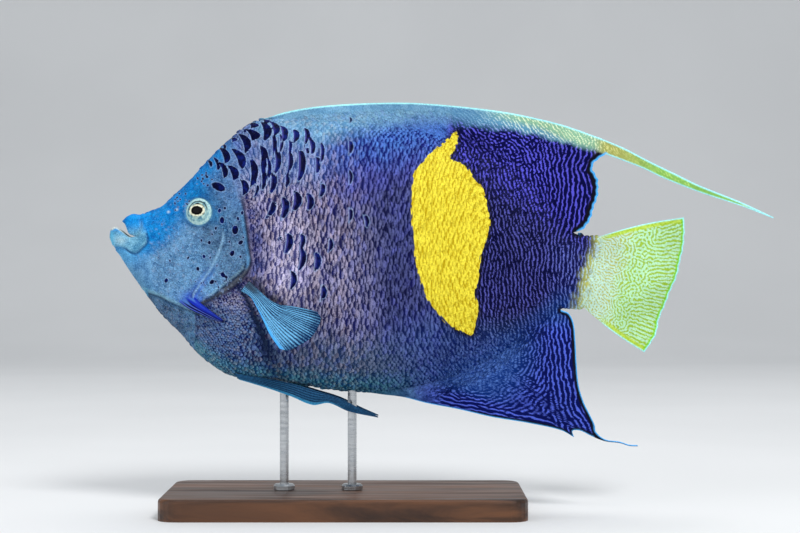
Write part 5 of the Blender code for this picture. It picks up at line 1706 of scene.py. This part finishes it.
class Nodes:
    """Short calls that add shader nodes and link them."""

    def __init__(self, tree):
        self.tree = tree
        self.shader = tree.nodes["Principled BSDF"]

    def add(self, kind, **inputs):
        node = self.tree.nodes.new(kind)
        for key, value in inputs.items():
            setattr(node, key, value)
        return node

    def link(self, source, target):
        self.tree.links.new(source, target)

    def feed(self, socket, value):
        if isinstance(value, bpy.types.NodeSocket):
            self.link(value, socket)
        else:
            socket.default_value = value

    def attribute(self, name, output="Fac"):
        return self.add("ShaderNodeAttribute", attribute_name=name).outputs[output]

    def math(self, operation, a, b=0.0, clamp=False):
        node = self.add("ShaderNodeMath", operation=operation, use_clamp=clamp)
        self.feed(node.inputs[0], a)
        self.feed(node.inputs[1], b)
        return node.outputs[0]

    def smooth(self, value, low, high, to_low=0.0, to_high=1.0):
        node = self.add("ShaderNodeMapRange", interpolation_type="SMOOTHSTEP")
        self.feed(node.inputs["Value"], value)
        node.inputs["From Min"].default_value = low
        node.inputs["From Max"].default_value = high
        node.inputs["To Min"].default_value = to_low
        node.inputs["To Max"].default_value = to_high
        return node.outputs["Result"]

    def mix(self, factor, a, b, blend="MIX"):
        node = self.add("ShaderNodeMix", data_type="RGBA", blend_type=blend)
        self.feed(node.inputs[0], factor)
        self.feed(node.inputs[6], a if isinstance(a, bpy.types.NodeSocket) else (*a, 1.0))
        self.feed(node.inputs[7], b if isinstance(b, bpy.types.NodeSocket) else (*b, 1.0))
        return node.outputs[2]

    def noise(self, scale, detail=3.0, roughness=0.55, stretch=(1.0, 1.0, 1.0), distortion=0.0):
        place = self.add("ShaderNodeTexCoord").outputs["Object"]
        if stretch != (1.0, 1.0, 1.0):
            mapping = self.add("ShaderNodeMapping")
            mapping.inputs["Scale"].default_value = stretch
            self.link(place, mapping.inputs["Vector"])
            place = mapping.outputs["Vector"]
        node = self.add("ShaderNodeTexNoise")
        self.link(place, node.inputs["Vector"])
        node.inputs["Scale"].default_value = scale
        node.inputs["Detail"].default_value = detail
        node.inputs["Roughness"].default_value = roughness
        node.inputs["Distortion"].default_value = distortion
        return node.outputs["Fac"]

    def bump(self, height, distance, strength=1.0):
        node = self.add("ShaderNodeBump")
        node.inputs["Strength"].default_value = strength
        node.inputs["Distance"].default_value = distance
        self.link(height, node.inputs["Height"])
        self.link(node.outputs["Normal"], self.shader.inputs["Normal"])

    def finish(self, colour, roughness, specular=0.4):
        self.feed(self.shader.inputs["Base Color"], colour)
        self.feed(self.shader.inputs["Roughness"], roughness)
        self.shader.inputs["Specular IOR Level"].default_value = specular


def fish_material(name, grain=0.16, bump=0.00006):
    """The markings of skin and scales, with a fine grain over them."""
    material, n = node_material(name)
    fine = n.noise(1500.0, 3.0)
    jitter = n.math("SUBTRACT", fine, 0.5)

    def grained(name, amount):
        return n.math("ADD", n.attribute(name), n.math("MULTIPLY", jitter, amount))

    share = n.smooth(grained("line", 0.74), 0.12, 0.88)
    colour = n.mix(share, n.attribute("deep", "Color"), n.attribute("pale", "Color"))
    moon = grained("moon", 0.7)
    yellow = n.mix(share, MOON_TONE[0], MOON_TONE[1])
    colour = n.mix(n.smooth(moon, 0.12, -0.12), colour, yellow)
    ink = grained("ink", 0.35)
    colour = n.mix(n.smooth(ink, 0.60, 0.28, 0.0, 0.5), colour, INK_RIM)
    wide = n.noise(260.0, 4.0)
    inside = n.mix(n.smooth(wide, 0.46, 0.66), INK, INK_BLUE)
    inside = n.mix(n.smooth(grained("ink_dark", 0.5), 0.0, 0.7), INK_FRONT, inside)
    colour = n.mix(n.smooth(ink, 0.18, -0.12), colour, inside)
    value = n.math("ADD", 1.0 - grain / 2, n.math("MULTIPLY", wide, grain))
    value = n.math("MULTIPLY", value, n.smooth(fine, 0.3, 0.7, 1 - grain, 1 + grain))
    both = n.add("ShaderNodeCombineColor")
    for socket in both.inputs:
        n.link(value, socket)
    colour = n.mix(1.0, colour, both.outputs[0], "MULTIPLY")
    n.bump(n.math("ADD", fine, n.math("MULTIPLY", wide, 0.6)), bump)
    n.finish(colour, n.smooth(wide, 0.3, 0.7, 0.42, 0.60), 0.06)
    return material


def leaf_grid(top, low, columns, rows, rim=None):
    """Return x, z and the share of the way along and across of a grid between two side edges.

    A rim, where there is one, joins their far ends.
    """
    upper = path_points(top, columns)[:, None, :]
    lower = path_points(low, columns)[:, None, :]
    along = np.linspace(0, 1, columns)[:, None, None]
    share = np.linspace(0, 1, rows)[None, :, None]
    flat = upper * share + lower * (1 - share)
    if rim:
        far = upper[-1] * share + lower[-1] * (1 - share)
        flat = flat + along * (path_points(rim, rows)[::-1][None] - far)
    return flat[..., 0], flat[..., 1], along[..., 0], share[..., 0]


def leaf_mesh(name, x, off, z, half, paint, material, side):
    """Make a thin closed leaf that stands so far off the fish's middle, from its half thickness."""
    columns, rows = x.shape
    middle = np.stack([x, side * off, z], axis=-1)
    across = np.array([0.0, side, 0.0])
    outer = middle + across * half[..., None]
    inner = middle - across * half[..., None]
    places = np.concatenate([outer.reshape(-1, 3), inner.reshape(-1, 3)])
    count = columns * rows
    quads = [grid_quads(columns, rows, 0, flip=side < 0),
             grid_quads(columns, rows, count, flip=side > 0)]
    ring = rim_indices(columns, rows)
    after = np.roll(ring, -1)
    wall = np.column_stack([ring, after, after + count, ring + count])
    quads.append(wall if side < 0 else wall[:, ::-1])
    mesh = mesh_from(name, places, np.concatenate(quads))
    for key, values in paint.items():
        both = np.concatenate([values.reshape(count, -1)] * 2)
        if both.shape[1] == 3:
            set_colour(mesh, key, both)
        else:
            set_value(mesh, key, both[:, 0])
    for key in ("ink", "moon"):
        set_value(mesh, key, np.full(2 * count, NO_MARK))
    obj = new_object(name, mesh, material)
    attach(obj, BODY)
    return obj


def flank_normal(x, z, side):
    """Return the outward direction of the body's side at side-view points."""
    slope_x = flank(x + 0.5, z) - flank(x - 0.5, z)
    slope_z = flank(x, z + 0.5) - flank(x, z - 0.5)
    normal = np.stack([-slope_x, side * np.ones_like(x), -slope_z], axis=-1)
    return normal / np.linalg.norm(normal, axis=-1, keepdims=True)


def add_pectoral(side, side_name, material):
    """The pectoral fin: a fan of rays that stands off the flank."""
    x, z, out, share = leaf_grid(PECTORAL_TOP, PECTORAL_LOW, 84, 116, PECTORAL_EDGE)
    ray = share * 10.5 + 0.30 * np.sin(share * 9.0) + 0.12 * np.sin(out * 4.0)
    fork = ease(out, 0.42, 0.62)
    ridge = 0.5 + 0.5 * np.cos(2 * math.pi * ray)
    forked = 0.5 + 0.5 * np.cos(4 * math.pi * ray)
    ridge = ridge * (1 - fork) + forked * fork
    half = FIN_EDGE + 1.5 * (1 - out) ** 2 * np.sin(math.pi * (0.08 + 0.84 * share))
    thin = half * (0.74 + 0.26 * ridge) * (1 - 0.35 * ease(out, 0.9, 1.0))
    x, z = laid_on_side(x, z, flank(x, z) + half + PECTORAL_SPREAD * out ** 1.3)
    stand_off = flank(x, z) + GAP + half + PECTORAL_SPREAD * out ** 1.3
    stand_off = stand_off - 0.7 * np.sin(math.pi * share) * out * 1.6
    stand_off[:8] -= (0.9 * (1 - np.linspace(0, 1, 8)))[:, None]
    leading = (1 - ease(share, 0.02, 0.11)) * ease(out, 0.05, 0.2)
    # Darker foot of the fin: the stalk's own grey-brown and painted shade at its root
    root = (1 - ease(out, 0.06, 0.26)) * ease(share, 0.25, 0.6)
    deep, pale = laid_over(PECTORAL, ((PECTORAL_FOOT, root * 0.9), (PECTORAL_FRONT, leading)))
    line = 0.16 + 0.86 * ridge ** 1.3 * (0.82 + 0.18 * np.sin(2.3 * ray))
    line = line + 0.16 * (1 - ease(share, 0.2, 0.6))
    line = line * (1 - 0.5 * ease(out, 0.8, 1.0) * (1 - leading)) + leading * 0.4
    paint = {"deep": deep, "pale": pale, "line": line}
    obj = leaf_mesh(f"pectoral_{side_name}", x, stand_off, z, thin, paint, material,
                    side)
    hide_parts(f"pectoral_fin_{side_name}")


def add_pelvic(side, side_name, material):
    """The pelvic fin: a narrow blade of rays that lies back along the belly."""
    x, z, along, share = leaf_grid(PELVIC_TOP, PELVIC_LOW, 150, 40)
    across_at = 2 * share - 1
    half = FIN_EDGE + 1.1 * (1 - along) * (1 - 0.8 * across_at ** 2)
    ridge = 0.5 + 0.5 * np.cos(2 * math.pi * share * 6.0)
    x, z = laid_on_side(x, z, PELVIC_SIDE)
    off = np.maximum(PELVIC_SIDE, flank(x, np.maximum(z, belly(x))) + GAP + half)
    leading = 1 - ease(share, 0.06, 0.24)
    deep, pale = mix_pair(PELVIC, PELVIC_FRONT, leading * (1 - ease(along, 0.62, 0.80)))
    line = 0.25 + 0.55 * ridge * (1 - 0.4 * along)
    paint = {"deep": deep, "pale": pale, "line": line + 0 * x}
    obj = leaf_mesh(f"pelvic_{side_name}", x, off, z, half * (0.82 + 0.18 * ridge), paint, material,
                    side)
    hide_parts(f"pelvic_fin_{side_name}")


def add_spine(side, side_name, material):
    """The spine of the cheek: a royal blue blade with dark and pale stripes under it."""
    x, z, along, share = leaf_grid(SPINE_TOP, SPINE_LOW, 90, 25)
    half = 0.35 + 0.85 * (1 - 0.7 * along) * (1 - (2 * share - 1) ** 2)
    half = half * (1 - 0.65 * ease(along, 0.86, 1.0)) * (0.3 + 0.7 * ease(along, -0.02, 0.12))
    x, z = laid_on_side(x, z, flank(x, z) + 1.0)
    column = flank(x, z).max(axis=1, keepdims=True)
    stand_off = column + GAP + 0.2 + 1.5 * along - 2.6 * (1 - ease(along, -0.05, 0.24))
    blue = SPINE_BLUE * (1 - 0.5 * ease(along, 0.25, 0.85))[..., None]
    stripe = np.cos(2 * math.pi * (share + 0.02 * np.sin(along * 9)) * 4.2)
    low = (1 - ease(share, 0.42, 0.60)) * (1 - 0.5 * (1 - ease(along, 0.0, 0.2)))
    deep = blend(blue, SPINE_DARK, low * ease(stripe, -0.4, 0.2))
    thin_line = low * (1 - ease(stripe, -0.95, -0.55))
    deep = blend(deep, SPINE_STRIPE, thin_line * 0.8)
    pale = blend(deep, SPINE_SHINE, bell(share, 0.10, 0.80) * 0.35)
    root = (1 - ease(along + 0.10 * np.sin(share * 14.0), 0.02, 0.22)) * 0.85
    tip = ease(along, 0.9, 1.0)
    deep, pale = laid_over((deep, pale), ((SPINE_FOOT, root), ((SPINE_DARK, SPINE_DARK), tip)))
    paint = {"deep": deep, "pale": pale, "line": np.full(x.shape, 0.5)}
    obj = leaf_mesh(f"cheek_blade_{side_name}", x, stand_off + 0 * x, z, half, paint, material,
                    side)
    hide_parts(f"cheek_spine_{side_name}")


def add_eye(side, side_name, material):
    """The eye: a domed ball with a raised rim, a ringed iris and a sunk oval pupil."""
    x, z = np.array([EYE_CENTRE[0]]), np.array([EYE_CENTRE[1]])
    x, z = laid_on_side(x, z, flank(x, z) + 1.0)
    normal = flank_normal(x, z, side)[0]
    place = np.array([x[0], side * flank(x, z)[0], z[0]]) - normal * EYE_SINK
    turn = np.array(Vector(normal).to_track_quat("Z", "Y").to_matrix())
    angle = np.linspace(0, 2 * math.pi, EYE_PITCH, endpoint=False)
    tilt = np.linspace(0, math.pi, EYE_RINGS)
    tilt = tilt - 0.35 * np.sin(tilt) * np.cos(tilt) * 0.8 - 0.25 * np.sin(tilt)
    tilt, angle = np.meshgrid(tilt, angle, indexing="ij")
    px, py, pz = np.sin(tilt) * np.cos(angle), np.sin(tilt) * np.sin(angle), np.cos(tilt)
    flat = np.stack([px * EYE_RADIUS, py * EYE_RADIUS], axis=-1)
    reach = np.hypot(flat[..., 0], flat[..., 1])
    up = turn[2, 0] * flat[..., 0] + turn[2, 1] * flat[..., 1]
    ahead = turn[0, 0] * flat[..., 0] + turn[0, 1] * flat[..., 1]
    pupil = (np.hypot((ahead + 0.3) / 2.9, (up - 0.3) / 2.1) - 1) * 2.3
    front = pz > 0
    bulge = bell(reach, 0.55, 5.9) * 0.22 - bell(reach, 0.3, 6.7) * 0.15
    hollow = 0.35 * (1 - ease(pupil, -0.7, 0.1))
    height = pz * EYE_DEPTH + front * (bulge - hollow)
    local = np.stack([flat[..., 0], flat[..., 1], height], axis=-1)
    places = (place + local @ turn.T).reshape(-1, 3)
    index = np.arange(EYE_RINGS * EYE_PITCH).reshape(EYE_RINGS, EYE_PITCH)
    index = np.concatenate([index, index[:, :1]], axis=1)
    quads = np.stack([index[:-1, :-1], index[1:, :-1], index[1:, 1:], index[:-1, 1:]], axis=-1)
    quads = quads.reshape(-1, 4)
    poles = [quads[:EYE_PITCH][:, [0, 1, 2]], quads[-EYE_PITCH:][:, [0, 1, 3]]]
    mesh = mesh_from(f"eye_{side_name}", places, quads[EYE_PITCH:-EYE_PITCH],
                     np.concatenate(poles))
    for name, values in (("pupil", pupil), ("reach", reach), ("up", up)):
        set_value(mesh, name, values.reshape(-1))
    obj = new_object(f"eyeball_{side_name}", mesh, material)
    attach(obj, BODY)
    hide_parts(f"eye_{side_name}")


def eye_material():
    """Black pupil in a pale ring, a mottled brown iris, a pale greenish outer ring and a dark arc
    of painted shadow across the top.
    """
    material, n = node_material("fish_eye")
    fine = n.noise(1100.0, 3.0)
    wide = n.noise(420.0, 4.0, 0.6)
    waver = n.math("MULTIPLY", n.math("SUBTRACT", wide, 0.5), 1.3)
    pupil = n.math("ADD", n.attribute("pupil"), n.math("MULTIPLY", waver, 0.5))
    reach = n.math("ADD", n.attribute("reach"), waver)
    up = n.attribute("up")
    colour = n.mix(n.smooth(wide, 0.36, 0.60), tone(92, 146, 166), tone(172, 210, 208))
    rim = n.smooth(reach, 5.9, 6.5)
    ring = n.mix(n.smooth(fine, 0.3, 0.7), tone(138, 188, 198), tone(194, 222, 216))
    colour = n.mix(rim, colour, ring)
    iris = n.mix(n.smooth(wide, 0.42, 0.56), tone(26, 30, 36), tone(150, 152, 124))
    upper = n.smooth(up, -3.4, 1.4, 0.35, 1.0)
    colour = n.mix(n.math("MULTIPLY", n.smooth(reach, 4.9, 4.1), upper), colour, iris)
    # Painted shadow: a dark arc across the top of the eye, where the rim above it shades it
    arc = n.math("MULTIPLY", n.smooth(reach, 4.9, 5.3), n.smooth(reach, 6.1, 5.6))
    arc = n.math("MULTIPLY", arc, n.smooth(up, -1.0, 3.2, 0.25, 0.9))
    colour = n.mix(arc, colour, tone(24, 30, 40))
    colour = n.mix(n.smooth(pupil, 1.55, 1.05), colour,
                   n.mix(n.smooth(wide, 0.34, 0.52), tone(120, 118, 92), tone(232, 232, 206)))
    colour = n.mix(n.smooth(pupil, 0.46, 0.26), colour, tone(1, 1, 4))
    n.bump(fine, 0.00002)
    n.finish(colour, 0.12, 0.09)
    return material


def wood_material():
    """Dark stained wood with long grain along the base."""
    material, n = node_material("stained_wood")
    rings = n.noise(9.0, 6.0, 0.6, (1.0, 11.0, 9.0), 0.6)
    pores = n.noise(160.0, 3.0, 0.6, (0.06, 1.0, 1.0))
    colour = n.mix(n.smooth(rings, 0.35, 0.65), tone(46, 27, 17), tone(104, 66, 40))
    colour = n.mix(n.smooth(pores, 0.56, 0.70, 0.0, 0.55), colour, tone(30, 17, 11))
    n.bump(n.math("ADD", rings, n.math("MULTIPLY", pores, 0.5)), 0.0002, 0.5)
    n.finish(colour, n.smooth(pores, 0.4, 0.7, 0.34, 0.55), 0.45)
    return material


def rod_material():
    """Brushed steel with fine marks round the rods."""
    material, n = node_material("brushed_steel")
    marks = n.noise(500.0, 4.0, 0.6, (0.08, 0.08, 1.0))
    n.shader.inputs["Metallic"].default_value = 1.0
    n.bump(marks, 0.00003)
    colour = n.mix(n.smooth(marks, 0.3, 0.7), tone(168, 172, 176), tone(206, 209, 212))
    n.finish(colour, n.smooth(marks, 0.3, 0.7, 0.22, 0.38), 0.5)
    return material


# Camera, light and floor
def make_stage():
    """A pale floor that sweeps up behind the fish, soft lights and the camera."""
    rows = []
    for step in range(13):
        turn = math.radians(90) * step / 12
        rows.append((1.7 + 0.9 * math.sin(turn), 0.9 - 0.9 * math.cos(turn)))
    profile = [(-4.0, 0.0), (-1.0, 0.0), (0.6, 0.0)] + rows + [(2.6, 3.6)]
    across = np.linspace(-5.0, 5.0, 9)
    places = np.array([(x, y, z) for x in across for y, z in profile])
    quads = grid_quads(len(across), len(profile), 0, flip=True)
    mesh = mesh_from("floor", places / MM, quads)
    material, n = node_material("studio_floor")
    shade = n.noise(3.0, 2.0)
    n.finish(n.mix(n.smooth(shade, 0.3, 0.7), (0.78, 0.79, 0.80), (0.81, 0.82, 0.83)), 0.75, 0.2)
    floor = new_object("floor", mesh, material)
    world = bpy.data.worlds.new("studio")
    world.use_nodes = True
    background = world.node_tree.nodes["Background"]
    background.inputs["Color"].default_value = (0.92, 0.96, 1.0, 1.0)
    background.inputs["Strength"].default_value = 0.42
    bpy.context.scene.world = world
    for name, place, aim, size, watts in LIGHTS:
        lamp = bpy.data.lights.new(name, "AREA")
        lamp.shape = "DISK"
        lamp.size = size
        lamp.energy = watts
        holder = bpy.data.objects.new(name, lamp)
        holder.location = place
        holder.rotation_euler = (Vector(aim) - Vector(place)).to_track_quat("-Z", "Y").to_euler()
        bpy.context.scene.collection.objects.link(holder)
    camera = bpy.data.cameras.new("camera")
    camera.lens = CAMERA_LENS
    camera.sensor_width = 36.0
    camera.clip_start = 0.05
    holder = bpy.data.objects.new("camera", camera)
    holder.location = CAMERA_PLACE
    holder.rotation_euler = (math.radians(90), 0.0, 0.0)
    bpy.context.scene.collection.objects.link(holder)
    bpy.context.scene.camera = holder
    bpy.context.scene.view_settings.view_transform = "Standard"


def main():
    """Build the stage, the fish, its scales and fins, and finish the stand."""
    make_stage()
    fields = make_fields()
    coat = fish_material("fish_skin")
    skin, patches = build_skin(fields, coat)
    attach(skin, BODY)
    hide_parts(*SKIN_NODES)
    add_scales(fields, patches, coat)
    fin = fish_material("paired_fins", 0.12)
    blade = fish_material("cheek_spines", 0.06, 0.00002)
    eye = eye_material()
    for side, side_name in ((-1, "left"), (1, "right")):
        add_pectoral(side, side_name, fin)
        add_pelvic(side, side_name, fin)
        add_spine(side, side_name, blade)
        add_eye(side, side_name, eye)
    finish_stand()


def finish_stand():
    """Give the display stand its wood and steel."""
    wood, steel = wood_material(), rod_material()
    for node, material in (("stand_base", wood), ("stand_rod_front", steel),
                           ("stand_rod_rear", steel)):
        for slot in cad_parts[node].material_slots:
            slot.material = material


main()
